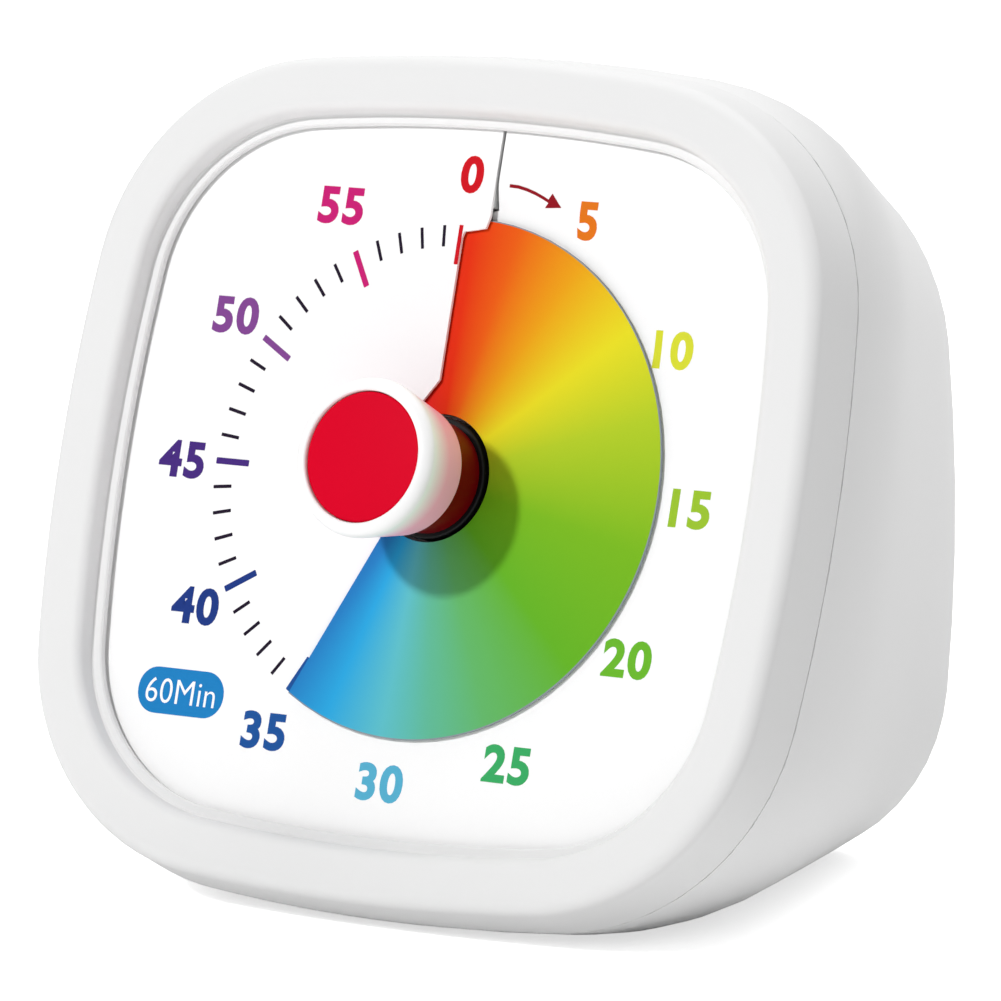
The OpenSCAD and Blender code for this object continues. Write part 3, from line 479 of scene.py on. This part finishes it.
def print_on(sizes, piece, ink=INK_T):
    """Lays a flat piece drawn round z = 0 onto the card, as a film of ink of this thickness.

    It is cut along a grid first, so that it can follow the card's bend.
    """
    spans = [extent(piece.data, axis) for axis in (0, 1)]
    pick(piece)
    bpy.ops.object.mode_set(mode="EDIT")
    for axis, (low, high) in enumerate(spans):
        way = Vector((1 - axis, axis, 0))
        for i in range(1, math.ceil((high - low) / PRINT_GRID)):
            bpy.ops.mesh.select_all(action="SELECT")
            bpy.ops.mesh.bisect(plane_co=way * (low + i * PRINT_GRID), plane_no=way)
    bpy.ops.object.mode_set(mode="OBJECT")
    for vert in piece.data.vertices:
        side = 1 if vert.co.z > 0 else -0.5  # its back sinks a little into the card
        vert.co.z = card_top(sizes, vert.co.x, vert.co.y) + side * ink
    return piece


def lettering(name, text, height, centre, bold, stretch):
    """Raised text as a closed mesh, of a given height and centre, in the plane z = 0."""
    fresh()
    bpy.ops.object.text_add()
    letters = bpy.context.object
    letters.data.body = text
    letters.data.size = 1.0
    letters.data.offset = bold
    letters.data.extrude = 0.01
    letters.data.space_character = 1.04 + 2 * bold
    letters.data.resolution_u = 5
    bpy.ops.object.convert(target="MESH")
    piece = named(name)
    low, high = (Vector(corner) for corner in zip(*(extent(piece.data, axis) for axis in range(3))))
    scale = height / (high.y - low.y)
    middle = (low + high) / 2
    for vert in piece.data.vertices:
        vert.co = Vector(((vert.co.x - middle.x) * scale * stretch + centre[0],
                          (vert.co.y - middle.y) * scale + centre[1], vert.co.z - middle.z))
    pick(piece)
    bpy.ops.object.mode_set(mode="EDIT")
    bpy.ops.mesh.select_all(action="SELECT")
    bpy.ops.mesh.remove_doubles(threshold=WELD)
    bpy.ops.object.mode_set(mode="OBJECT")
    return piece


def joined(name, pieces):
    """Joins pieces into one."""
    fresh()
    for piece in pieces:
        piece.select_set(True)
    bpy.context.view_layer.objects.active = pieces[0]
    bpy.ops.object.join()
    return named(name)


# ---- finishes ----


class Field:
    """A value in a material's nodes. Its operators add Math nodes."""

    def __init__(self, tree, socket):
        self.tree = tree
        self.socket = socket

    def math(self, operation, *values):
        """The result of a Math node on values and fields."""
        node = self.tree.nodes.new("ShaderNodeMath")
        node.operation = operation
        for slot, value in zip(node.inputs, values):
            if isinstance(value, Field):
                self.tree.links.new(value.socket, slot)
            else:
                slot.default_value = value
        return Field(self.tree, node.outputs[0])

    def __add__(self, other):
        return self.math("ADD", self, other)

    __radd__ = __add__

    def __rsub__(self, other):
        return self.math("SUBTRACT", other, self)

    def __mul__(self, other):
        return self.math("MULTIPLY", self, other)

    __rmul__ = __mul__

    def __truediv__(self, other):
        return self.math("DIVIDE", self, other)

    def __gt__(self, other):
        return self.math("GREATER_THAN", self, other)


class Finish:
    """A material of one Principled shader, with its patterns built node by node."""

    def __init__(self, name, base, roughness, **plain):
        self.material = bpy.data.materials.new(name)
        self.material.use_nodes = True
        self.tree = self.material.node_tree
        self.tree.nodes.clear()
        self.shader = self.tree.nodes.new("ShaderNodeBsdfPrincipled")
        output = self.tree.nodes.new("ShaderNodeOutputMaterial")
        self.tree.links.new(self.shader.outputs[0], output.inputs[0])
        self.set("Base Color", base)
        self.set("Roughness", roughness)
        for socket, value in plain.items():
            self.set(socket.replace("_", " "), value)

    def set(self, socket, value):
        """Gives the shader's socket a number, a colour or a field."""
        target = self.shader.inputs[socket]
        if isinstance(value, Field):
            self.tree.links.new(value.socket, target)
        elif hasattr(value, "__len__"):
            target.default_value = tuple(value)[:len(target.default_value)]
        else:
            target.default_value = value

    def node(self, kind, settings=None, output=0, **inputs):
        """Makes a node: its settings first, then the values and links of its sockets."""
        node = self.tree.nodes.new(kind)
        for key, value in (settings or {}).items():
            if key == "stops":
                ramp = node.color_ramp
                while len(ramp.elements) > 1:
                    ramp.elements.remove(ramp.elements[-1])
                for i, (place, shade) in enumerate(value):
                    stop = ramp.elements[0] if i == 0 else ramp.elements.new(place)
                    stop.position, stop.color = place, shade
            elif key == "interpolation":
                node.color_ramp.interpolation = value
            else:
                setattr(node, key, value)
        for key, value in inputs.items():
            slot = node.inputs[int(key[1:]) if key[0] == "i" and key[1:].isdigit() else key.replace("_", " ")]
            if isinstance(value, Field):
                self.tree.links.new(value.socket, slot)
            else:
                slot.default_value = value
        return Field(self.tree, node.outputs[output])

    def points(self):
        """Object coordinates, in metres."""
        return self.node("ShaderNodeTexCoord", output="Object")

    def dial_points(self):
        """Coordinates in the dial frame, in metres, as three fields."""
        turned_back = self.node("ShaderNodeMapping", {"vector_type": "TEXTURE"}, Vector=self.points(),
                                Location=tuple(HUB), Rotation=(math.pi / 2 - LEAN, 0, 0))
        apart = self.node("ShaderNodeSeparateXYZ", Vector=turned_back)
        return [Field(self.tree, out) for out in apart.socket.node.outputs]

    def noise(self, size, detail=2.0, roughness=0.5):
        """Noise from 0 to 1 whose grains are about this big, in millimetres."""
        return self.node("ShaderNodeTexNoise", Vector=self.points(), Scale=1 / (size * MM), Detail=detail,
                         Roughness=roughness)

    def mix(self, share, a, b):
        """Colour a where share is 0 and colour b where it is 1."""
        return self.node("ShaderNodeMix", {"data_type": "RGBA"}, 2, i0=share, i6=a, i7=b)

    def relief(self, height, depth):
        """Bumps of the given depth in millimetres."""
        self.set("Normal", self.node("ShaderNodeBump", Height=height, Distance=depth * MM, Strength=1.0))
        return self


def shade(base, factor):
    """A colour made lighter or darker."""
    return tuple(min(1.0, c * factor) for c in tuple(base)[:3]) + (1.0,)


def moulded(name, base, roughness, grain=0.35, depth=0.006, spread=0.03, **plain):
    """Moulded plastic: fine erosion texture, faint clouding and an uneven sheen."""
    finish = Finish(name, base, roughness, **plain)
    cloud = finish.noise(9.0, 3.0)
    fine = finish.noise(grain, 3.0, 0.6)
    finish.set("Base Color", finish.mix(cloud, shade(base, 1 - spread), shade(base, 1 + spread / 2)))
    finish.set("Roughness", roughness - 0.05 + 0.07 * fine + 0.04 * cloud)
    return finish.relief(fine, depth).material


def metal(name, base, roughness, grain=0.25, depth=0.002):
    """Plain metal with fine drawn grain and a little tarnish."""
    finish = Finish(name, base, roughness, Metallic=1.0)
    fine = finish.noise(grain, 4.0)
    cloud = finish.noise(3.0, 3.0)
    finish.set("Base Color", finish.mix(cloud, shade(base, 0.88), shade(base, 1.05)))
    finish.set("Roughness", roughness - 0.06 + 0.14 * cloud)
    return finish.relief(fine, depth).material


def print_ink(name, base):
    """Screen-printed ink: flat, faintly uneven, a little glossier than the card."""
    finish = Finish(name, base, 0.5, Specular_IOR_Level=0.06)
    fine = finish.noise(0.25, 3.0)
    finish.set("Base Color", finish.mix(fine, shade(base, 0.96), shade(base, 1.03)))
    finish.set("Roughness", 0.44 + 0.1 * fine)
    return finish.relief(fine, 0.003).material


def numeral_ink():
    """Ink whose colour follows the clock, one colour for each five minutes."""
    finish = Finish("numeral_ink", (1, 1, 1, 1), 0.5, Specular_IOR_Level=0.06)
    x, y, _ = finish.dial_points()
    # Half of a twelfth further, so that each numeral stands in the middle of its colour
    turn = x.math("FRACT", x.math("ARCTAN2", x, y) / (2 * math.pi) + (1 + 1 / 24))
    stops = [(i / 12, tint(code)) for i, code in enumerate(NUMERAL_INKS)]
    fine = finish.noise(0.25, 3.0)
    finish.set("Base Color", finish.node("ShaderNodeValToRGB", {"interpolation": "CONSTANT", "stops": stops},
                                         Fac=turn))
    finish.set("Roughness", 0.44 + 0.1 * fine)
    return finish.relief(fine, 0.003).material


def rainbow_film(edge_and_shade_colour, sizes):
    """Satin film printed with the colours of the clock, with a grey band along its rim that is its cut edge and
    painted shade there.
    """
    finish = Finish("rainbow_film", (1, 1, 1, 1), 0.42, Specular_IOR_Level=0.06)
    x, y, _ = finish.dial_points()
    turn = x.math("FRACT", x.math("ARCTAN2", x, y) / (2 * math.pi) + 1.0)
    stops = [(minute / 60, tint(code)) for minute, code in RAINBOW]
    print_colour = finish.node("ShaderNodeValToRGB", {"stops": stops}, Fac=turn)
    radius = x.math("SQRT", x * x + y * y)
    # Painted shade: a thin grey band on the rim stands in for the rim's thickness and the shadow along it
    edge = radius > sizes.disc_r - FILM_EDGE_AND_SHADE
    fine = finish.noise(0.3, 3.0)
    finish.set("Base Color", finish.mix(edge, print_colour, edge_and_shade_colour))
    finish.set("Roughness", 0.38 + 0.08 * fine)
    return finish.relief(fine, 0.002).material


def coated_card(base):
    """Smooth coated card with a trace of fibre."""
    finish = Finish("coated_card", base, 0.62, Specular_IOR_Level=0.12)
    fibre = finish.noise(0.5, 5.0, 0.7)
    finish.set("Base Color", finish.mix(fibre, shade(base, 0.985), shade(base, 1.01)))
    finish.set("Roughness", 0.58 + 0.08 * fibre)
    return finish.relief(fibre, 0.004).material


def knob_satin(base, blush, sizes):
    """Satin white plastic whose sides carry a painted pink reflection of the red inside, growing towards the rear.
    """
    finish = Finish("knob_satin", base, 0.38, Specular_IOR_Level=0.2)
    height = finish.dial_points()[2]
    depth = (sizes.knob_out - REFLECTION_START - height) / REFLECTION_FADE_L
    share = depth.math("MAXIMUM", depth.math("MINIMUM", depth, 1.0), 0.0)
    fine = finish.noise(0.5, 3.0, 0.6)
    # Painted reflection: the side turns pink further behind the front
    finish.set("Base Color", finish.mix(share, base, blush))
    finish.set("Roughness", 0.34 + 0.08 * fine)
    return finish.relief(fine, 0.002).material


def seen_rays(tree):
    """1 for rays that show the background, directly, in metal or through glass, and 0 for the rest."""
    path = tree.nodes.new("ShaderNodeLightPath")
    camera, glossy, through = (Field(tree, path.outputs[f"Is {kind} Ray"])
                               for kind in ("Camera", "Glossy", "Transmission"))
    return camera.math("MAXIMUM", camera, glossy.math("MAXIMUM", glossy, through))


FINISHES = {
    "shell_white": lambda t: moulded("shell_white", t.shell, 0.55, grain=0.4, depth=0.011, spread=0.012,
                                      Specular_IOR_Level=0.06),
    "card_white": lambda t: coated_card(t.card),
    "disc_print": lambda t: rainbow_film(t.disc_edge, bpy.context.scene.timer_sizes),
    "inner_white": lambda t: moulded("inner_white", tint("#e4e5e4"), 0.6),
    "drum_black": lambda t: moulded("drum_black", t.drum, 0.4, spread=0.1, Specular_IOR_Level=0.12),
    "knob_white": lambda t: knob_satin(t.knob, t.blush, bpy.context.scene.timer_sizes),
    "cap_red": lambda t: moulded("cap_red", t.cap, 0.5, grain=0.4, depth=0.004, Specular_IOR_Level=0.04),
    # Painted shade: the stem's red is darkened for the shade it sits in behind the knob
    "stem_red": lambda t: moulded("stem_red", t.stem, 0.32, grain=0.5, depth=0.002, Specular_IOR_Level=0.1),
    "steel": lambda t: metal("steel", tint("#b9bbbd"), 0.3),
    "brass": lambda t: metal("brass", tint("#cfae66"), 0.32),
    "gear_plastic": lambda t: moulded("gear_plastic", tint("#efe9d6"), 0.45, spread=0.04),
    "magnet": lambda t: metal("magnet", tint("#5b5c60"), 0.5, depth=0.006),
    "copper": lambda t: metal("copper", tint("#b56a3a"), 0.35, grain=0.12, depth=0.02),
    "board_green": lambda t: moulded("board_green", tint("#1e6b3c"), 0.4, grain=0.6, spread=0.12),
    "part_black": lambda t: moulded("part_black", tint("#1b1b1d"), 0.4, spread=0.15),
    "can_blue": lambda t: moulded("can_blue", tint("#27305f"), 0.3, spread=0.08),
    "screw_steel": lambda t: metal("screw_steel", tint("#a9abae"), 0.35),
    "cell_wrap": lambda t: moulded("cell_wrap", tint("#3f9a56"), 0.3, grain=0.8, depth=0.002, spread=0.05),
    "switch_grey": lambda t: moulded("switch_grey", tint("#a9abad"), 0.5),
    "slider_black": lambda t: moulded("slider_black", tint("#232325"), 0.45, spread=0.1),
}
made = {}


def finish_for(slot):
    """The material of a slot, made once."""
    if slot not in made:
        made[slot] = FINISHES[slot](bpy.context.scene.timer_colours)
    return made[slot]


def dress(*nodes):
    """Gives CAD nodes the finish of their slots."""
    for node in nodes:
        materials = frame["nodes"][node].data.materials
        materials.clear()
        materials.append(finish_for(SLOTS[node]))


# ---- operators ----


class TimerPiece:
    """What every timer operator shares."""

    bl_options = {"REGISTER", "UNDO"}


class TIMER_OT_front_frame(TimerPiece, bpy.types.Operator):
    """Lofts the front frame with its window, ledge and tongue"""

    bl_idname = "timer.front_frame"
    bl_label = "Front frame"

    def hook(self, low, high, place):
        """A snap hook between two corners, with eased edges, at its place on the tongue."""
        fresh()
        bpy.ops.mesh.primitive_cube_add(size=1)
        piece = named("hook")
        bpy.ops.object.mode_set(mode="EDIT")
        bpy.ops.transform.resize(value=high - low)
        bpy.ops.mesh.bevel(offset=HOOK_EASE, segments=2, affect="EDGES")
        bpy.ops.transform.translate(value=(low + high) / 2)
        bpy.ops.object.mode_set(mode="OBJECT")
        piece.data.transform(place)
        return piece

    def execute(self, context):
        z = context.scene.timer_sizes
        window_in = z.face_in + z.face_w + z.window_r
        tongue_in, frame_in = tongue_inset(z), frame_inset(z)
        ease, draft = 0.15 * MM, 0.1 * MM
        profile = [(z.seam_s, z.seam_in + 2 * z.seam_gap),
                   (z.seam_s - 0.4 * z.seam_gap, z.seam_in + z.seam_gap),
                   (z.seam_s - 1.4 * z.seam_gap, z.seam_in)]
        profile += [(z.face_r * (1 - math.sin(a)), z.face_in - z.face_r * math.cos(a))
                    for a in (math.radians(9 * i) for i in range(11))]
        profile += [(z.window_r * (1 - math.cos(a)), window_in - z.window_r * (1 - math.sin(a)))
                    for a in (math.radians(9 * i) for i in range(11))]
        sill_s = z.window_s - z.sill_t
        profile += [(sill_s - ease, window_in + 0.8 * draft), (sill_s, window_in + draft + ease),
                    (sill_s, window_in + z.sill_w - ease), (sill_s + ease, window_in + z.sill_w),
                    (z.window_s, window_in + z.sill_w), (z.window_s, window_in - z.skirt_t),
                    (z.channel_s, window_in - z.skirt_t - 2 * ease), (z.channel_s, frame_in),
                    (z.seam_s + z.tongue_h, frame_in), (z.seam_s + z.tongue_h, tongue_in),
                    (z.seam_s, tongue_in)]
        rings = [[(x, y, -depth) for x, y in outline(z, inset)] for depth, inset in profile]
        pieces = [loft("front_frame_skin", rings)]
        for quarter in range(4):
            half, up = (z.body_w / 2, 0) if quarter % 2 == 0 else (z.body_h / 2, -z.dial_up)
            side = half - tongue_in
            low = Vector((side - z.tongue_t / 2, -z.hook_w / 2, -z.seam_s - z.tongue_h + 0.7 * MM))
            high = Vector((side + z.hook_t, z.hook_w / 2, -z.seam_s - 0.4 * MM))
            turn = Matrix.Rotation(quarter * math.pi / 2, 4, "Z")
            pieces.append(self.hook(low, high, Matrix.Translation((0, up, 0)) @ turn))
        piece = smooth(joined("front_frame_skin", pieces), 40)
        settle(lean_back(piece), "root", "shell_white", finish_for("shell_white"), "front_frame")
        return {"FINISHED"}


class TIMER_OT_rear_shell(TimerPiece, bpy.types.Operator):
    """Smooths the rear shell and eases the edges of the door, slider and screws behind"""

    bl_idname = "timer.rear_shell"
    bl_label = "Rear shell"

    def execute(self, context):
        for node, body, bevel in (("rear_shell", "root", 0),
                                  ("battery_door", "battery_door", 0.25 * MM),
                                  ("switch_slider", "switch_slider", 0.3 * MM),
                                  ("housing_screws", "root", 0.12 * MM)):
            settle(refined(node, node + "_skin", bevel), body, SLOTS[node], finish_for(SLOTS[node]), node)
        return {"FINISHED"}


class TIMER_OT_dial_print(TimerPiece, bpy.types.Operator):
    """Finishes the card and the disc, and prints marks, numerals, arrow and badge on the card"""

    bl_idname = "timer.dial_print"
    bl_label = "Dial print"

    def marks(self, z, name, minutes, bar_l, bar_w, aside=0.0):
        """A ring of bars for the given minutes, each moved aside by a distance."""
        fresh()
        bpy.ops.mesh.primitive_cube_add(size=1)
        piece = named(name)
        bpy.ops.object.mode_set(mode="EDIT")
        bpy.ops.mesh.select_all(action="SELECT")
        bpy.ops.transform.resize(value=(bar_w, bar_l, INK_T))
        bpy.ops.mesh.bevel(offset=0.12 * bar_w, segments=2, affect="EDGES")
        bpy.ops.transform.translate(value=(aside, z.mark_r - bar_l / 2, 0))
        bpy.ops.object.mode_set(mode="OBJECT")
        bars = []
        for minute in minutes:
            bar = piece.copy()
            bar.data = piece.data.copy()
            turn = Matrix.Rotation(-math.radians(6 * minute), 4, "Z")
            bar.data.transform(Matrix.Translation((PRINT_OFF.x, PRINT_OFF.y, 0)) @ turn)
            bpy.context.scene.collection.objects.link(bar)
            bars.append(bar)
        bpy.data.objects.remove(piece)
        return print_on(z, joined(name, bars))

    def execute(self, context):
        z, t = context.scene.timer_sizes, context.scene.timer_colours
        dress("rainbow_disc")
        card = smooth(lean_back(spiral_card(z, "dial_card_skin", frame_inset(z) + z.card_gap)), 50)
        settle(card, "root", "card_white", finish_for("card_white"), "dial_card")
        ink = numeral_ink()
        fine = [m for m in range(1, 60) if m % 5]
        pieces = [
            (self.marks(z, "fine_marks", fine, z.fine_mark_l, z.fine_mark_w),
             print_ink("fine_mark_ink", t.fine_ink)),
            (self.marks(z, "five_minute_marks", range(5, 60, 5), z.bold_mark_l, z.bold_mark_w), ink),
            (self.marks(z, "zero_mark", [0], z.bold_mark_l, z.zero_mark_w, ZERO_ASIDE), ink),
        ]
        numerals = [lettering(f"numeral_{minute}", str(minute), z.numeral_h, (x * MM, y * MM), 0.036, 1.06)
                    for minute, (x, y) in NUMERALS.items()]
        pieces.append((print_on(z, joined("numerals", numerals)), ink))
        pieces.append((self.arrow(z), print_ink("arrow_ink", t.arrow_ink)))
        pieces.append((self.badge(z), print_ink("badge_ink", t.badge)))
        middle = [place * MM for place in BADGE_AT]
        words = lettering("badge_text", BADGE_TEXT, BADGE_TEXT_H, middle, -0.006, 0.95)
        pieces.append((print_on(z, words, 2.25 * INK_T), print_ink("badge_text_ink", t.badge_text)))
        for piece, material in pieces:
            settle(smooth(lean_back(piece), 30), "root", "card_white", material)
        return {"FINISHED"}

    def arrow(self, z):
        """A thin curved arrow from the zero towards the five."""
        half = ARROW_W / 2
        points = [(x - half * 0.2, y + half) for x, y in ARROW_SHAFT] + ARROW_HEAD
        points += [(x - half * 0.3, y - half) for x, y in reversed(ARROW_SHAFT)]
        return self.flat(z, "arrow", points)

    def badge(self, z):
        """The ground of the badge, a rectangle with nearly full round ends."""
        (cx, cy), (w, h) = BADGE_AT, BADGE_SIZE
        r = 0.48 * h
        corners = []
        for sx, sy, start in ((1, 1, 0), (-1, 1, 90), (-1, -1, 180), (1, -1, 270)):
            corners += arc((cx + sx * (w / 2 - r), cy + sy * (h / 2 - r)), r, start, start + 90, 8)
        return self.flat(z, "badge", corners)

    def flat(self, z, name, points):
        """A thin plate with the given outline, in millimetres, laid onto the card."""
        fresh()
        bpy.ops.mesh.primitive_circle_add(vertices=len(points), radius=MM, fill_type="NGON")
        piece = named(name)
        for vert, (x, y) in zip(piece.data.vertices, points):
            vert.co = (x * MM, y * MM, 0)
        bpy.ops.object.mode_set(mode="EDIT")
        bpy.ops.mesh.select_all(action="SELECT")
        bpy.ops.mesh.extrude_region_move(TRANSFORM_OT_translate={"value": (0, 0, INK_T)})
        bpy.ops.object.mode_set(mode="OBJECT")
        return print_on(z, piece)


class TIMER_OT_knob(TimerPiece, bpy.types.Operator):
    """Turns the knob, its cap, the stem and the drum"""

    bl_idname = "timer.knob"
    bl_label = "Knob"

    def execute(self, context):
        z = context.scene.timer_sizes
        rear, back = z.knob_out - z.knob_l, z.knob_out - z.cap_sink - z.cap_t
        fit, rim, soft = 0.02 * MM, 0.35 * MM, 0.22 * MM
        well_r = z.cap_r + z.cap_gap
        body = [(z.core_r + fit, rear)]
        body += arc((z.knob_rear_r - rim, rear + rim), rim, -90, 5)
        body += arc((z.knob_r - z.lip_r, z.knob_out - z.lip_r), z.lip_r, 0, 90, 12)
        body += arc((well_r + soft, z.knob_out - soft), soft, 90, 180, 4)
        body += [(well_r, back), (z.core_r + fit, back)]
        top = back + z.cap_t
        cap = [(0, back + fit), (z.cap_r - soft, back + fit), (z.cap_r, back + fit + soft)]
        cap += arc((z.cap_r - soft, top - soft), soft, 0, 90, 5)
        cap += [(0, top)]
        drum_front, stem_top = z.drum_h - z.drum_s, back - 0.3 * MM
        stem = [(z.shaft_r + fit, drum_front + fit), (z.stem_r, drum_front + fit), (z.stem_r, rear - fit),
                (z.core_r, rear - fit), (z.core_r, stem_top), (z.shaft_r + fit, stem_top)]
        drum = [(z.shaft_r + fit, -z.drum_s), (z.drum_r, -z.drum_s)]
        drum += arc((z.drum_r - soft, drum_front - soft), soft, 0, 90, 4)
        drum += [(z.shaft_r + fit, drum_front)]
        for node, profile in (("knob_body", body), ("knob_cap", cap), ("knob_stem", stem),
                              ("disc_drum", drum)):
            piece = smooth(turned(node + "_skin", profile), 42)
            settle(lean_back(piece), "knob", SLOTS[node], finish_for(SLOTS[node]), node)
        return {"FINISHED"}


class TIMER_OT_movement(TimerPiece, bpy.types.Operator):
    """Finishes the plate, the shaft, the wheels, the motor and their case"""

    bl_idname = "timer.movement"
    bl_label = "Movement"

    def execute(self, context):
        dress("dial_plate", "drive_shaft", "shaft_bush", "clutch_spring", "shaft_clip", "output_wheel",
              "idler_wheel", "idler_pin", "motor_pinion", "motor_rotor", "motor_coil", "motor_can",
              "alarm_leaf", "movement_front", "movement_rear", "movement_screws")
        return {"FINISHED"}


class TIMER_OT_battery_and_board(TimerPiece, bpy.types.Operator):
    """Finishes the cell, its contacts, the board, the sounder and the switch"""

    bl_idname = "timer.battery_and_board"
    bl_label = "Battery and board"

    def execute(self, context):
        dress("battery_cell", "contact_spring", "contact_plates", "circuit_board", "board_chip",
              "board_capacitor", "board_screws", "buzzer", "switch_case")
        return {"FINISHED"}


class TIMER_OT_stage(TimerPiece, bpy.types.Operator):
    """Sets the floor, the soft light and the camera"""

    bl_idname = "timer.stage"
    bl_label = "Stage"

    # Camera in the dial frame: focal length in picture widths, turns in degrees, and the
    # place of the dial's centre in front of the lens, in metres
    FOCAL = 8.117
    YAW, PITCH, ROLL = 33.04, -5.13, 8.9
    PLACE = (-0.00812, -0.00266, 0.7664)
    SENSOR = 36  # width in millimetres
    # Lamps: direction from the dial, distance, side and power
    KEY = ((-0.22, 0.30, 1.0), 1.2, 0.08, 8.2)
    TOP = ((0.15, 1.0, -0.12), 1.5, 1.2, 18.5)
    WORLD_LEVEL = 0.21  # strength of the world's light on the object
    FLOOR_SIZE = 6
    FLOOR_GLOW = 0.6  # glow of the floor below the object
    FLOOR_FADE = 0.25  # distance from the middle at which that glow is full

    def camera(self, context):
        """Places the camera in front of the dial."""
        turn = (Matrix.Rotation(math.radians(self.ROLL), 3, "Z")
                @ Matrix.Rotation(math.radians(self.PITCH), 3, "X")
                @ Matrix.Rotation(math.radians(self.YAW), 3, "Y"))
        flip = Matrix(((1, 0, 0), (0, -1, 0), (0, 0, -1)))
        place = flip @ (turn.transposed() @ -Vector(self.PLACE))
        axes = flip @ turn.transposed() @ flip
        pose = Matrix.Translation(place) @ axes.to_4x4()
        camera = bpy.data.objects.new("camera", bpy.data.cameras.new("camera"))
        context.scene.collection.objects.link(camera)
        camera.matrix_world = DIAL @ pose
        camera.data.sensor_width = self.SENSOR
        camera.data.lens = self.FOCAL * self.SENSOR
        camera.data.clip_start, camera.data.clip_end = 0.01, 20
        context.scene.camera = camera

    def lamp(self, context, name, towards, distance, size, power):
        """A square soft light that shines on the dial from a direction in the dial frame."""
        light = bpy.data.lights.new(name, "AREA")
        light.shape, light.size, light.energy = "SQUARE", size, power
        lamp = bpy.data.objects.new(name, light)
        context.scene.collection.objects.link(lamp)
        way = (DIAL.to_3x3() @ Vector(towards)).normalized()
        turn = way.to_track_quat("Z", "Y").to_matrix().to_4x4()
        lamp.matrix_world = Matrix.Translation(HUB + distance * way) @ turn

    def floor(self):
        """A white floor that keeps a soft shadow and looks pure white farther off."""
        fresh()
        bpy.ops.mesh.primitive_plane_add(size=self.FLOOR_SIZE)
        floor = named("floor")
        finish = Finish("floor_white", tint("#fafafa"), 0.9, Specular_IOR_Level=0.1, Emission_Strength=1.0)
        apart = finish.node("ShaderNodeSeparateXYZ", Vector=finish.points()).socket.node.outputs
        x, y = Field(finish.tree, apart[0]), Field(finish.tree, apart[1])
        away = x.math("MINIMUM", x.math("SQRT", x * x + y * y) / self.FLOOR_FADE, 1.0)
        glow = seen_rays(finish.tree) * (self.FLOOR_GLOW + (1 - self.FLOOR_GLOW) * away)
        finish.set("Emission Color", finish.mix(glow, (0, 0, 0, 1), (1, 1, 1, 1)))
        floor.data.materials.append(finish.material)

    def world(self, context):
        """A dim white world that is pure white to the camera and in reflections."""
        world = bpy.data.worlds.new("studio")
        context.scene.world = world
        world.use_nodes = True
        tree = world.node_tree
        tree.nodes.clear()
        background = tree.nodes.new("ShaderNodeBackground")
        background.inputs["Color"].default_value = (1, 1, 1, 1)
        level = seen_rays(tree) * (1 - self.WORLD_LEVEL) + self.WORLD_LEVEL
        tree.links.new(level.socket, background.inputs["Strength"])
        output = tree.nodes.new("ShaderNodeOutputWorld")
        tree.links.new(background.outputs[0], output.inputs[0])

    def execute(self, context):
        self.camera(context)
        self.floor()
        self.lamp(context, "key", *self.KEY)
        self.lamp(context, "top", *self.TOP)
        self.world(context)
        context.scene.view_settings.view_transform = "Standard"
        return {"FINISHED"}


OPERATORS = (TIMER_OT_front_frame, TIMER_OT_rear_shell, TIMER_OT_dial_print, TIMER_OT_knob,
             TIMER_OT_movement, TIMER_OT_battery_and_board, TIMER_OT_stage)


class TIMER_PT_panel(bpy.types.Panel):
    """Lists the timer's sizes, colours and pieces"""

    bl_label = "Timer"
    bl_idname = "TIMER_PT_panel"
    bl_space_type = "VIEW_3D"
    bl_region_type = "UI"
    bl_category = "Timer"

    def draw(self, context):
        for operator in OPERATORS:
            self.layout.operator(operator.bl_idname)
        for group in (context.scene.timer_sizes, context.scene.timer_colours):
            box = self.layout.box()
            for name in group.__annotations__:
                box.prop(group, name)


CLASSES = (TimerSizes, TimerColours, *OPERATORS, TIMER_PT_panel)


def register():
    for cls in CLASSES:
        bpy.utils.register_class(cls)
    bpy.types.Scene.timer_sizes = PointerProperty(type=TimerSizes)
    bpy.types.Scene.timer_colours = PointerProperty(type=TimerColours)


def unregister():
    del bpy.types.Scene.timer_colours
    del bpy.types.Scene.timer_sizes
    for cls in reversed(CLASSES):
        bpy.utils.unregister_class(cls)


def main():
    register()
    for operator in OPERATORS:
        group, name = operator.bl_idname.split(".")
        getattr(getattr(bpy.ops, group), name)()


if __name__ == "__main__":
    main()
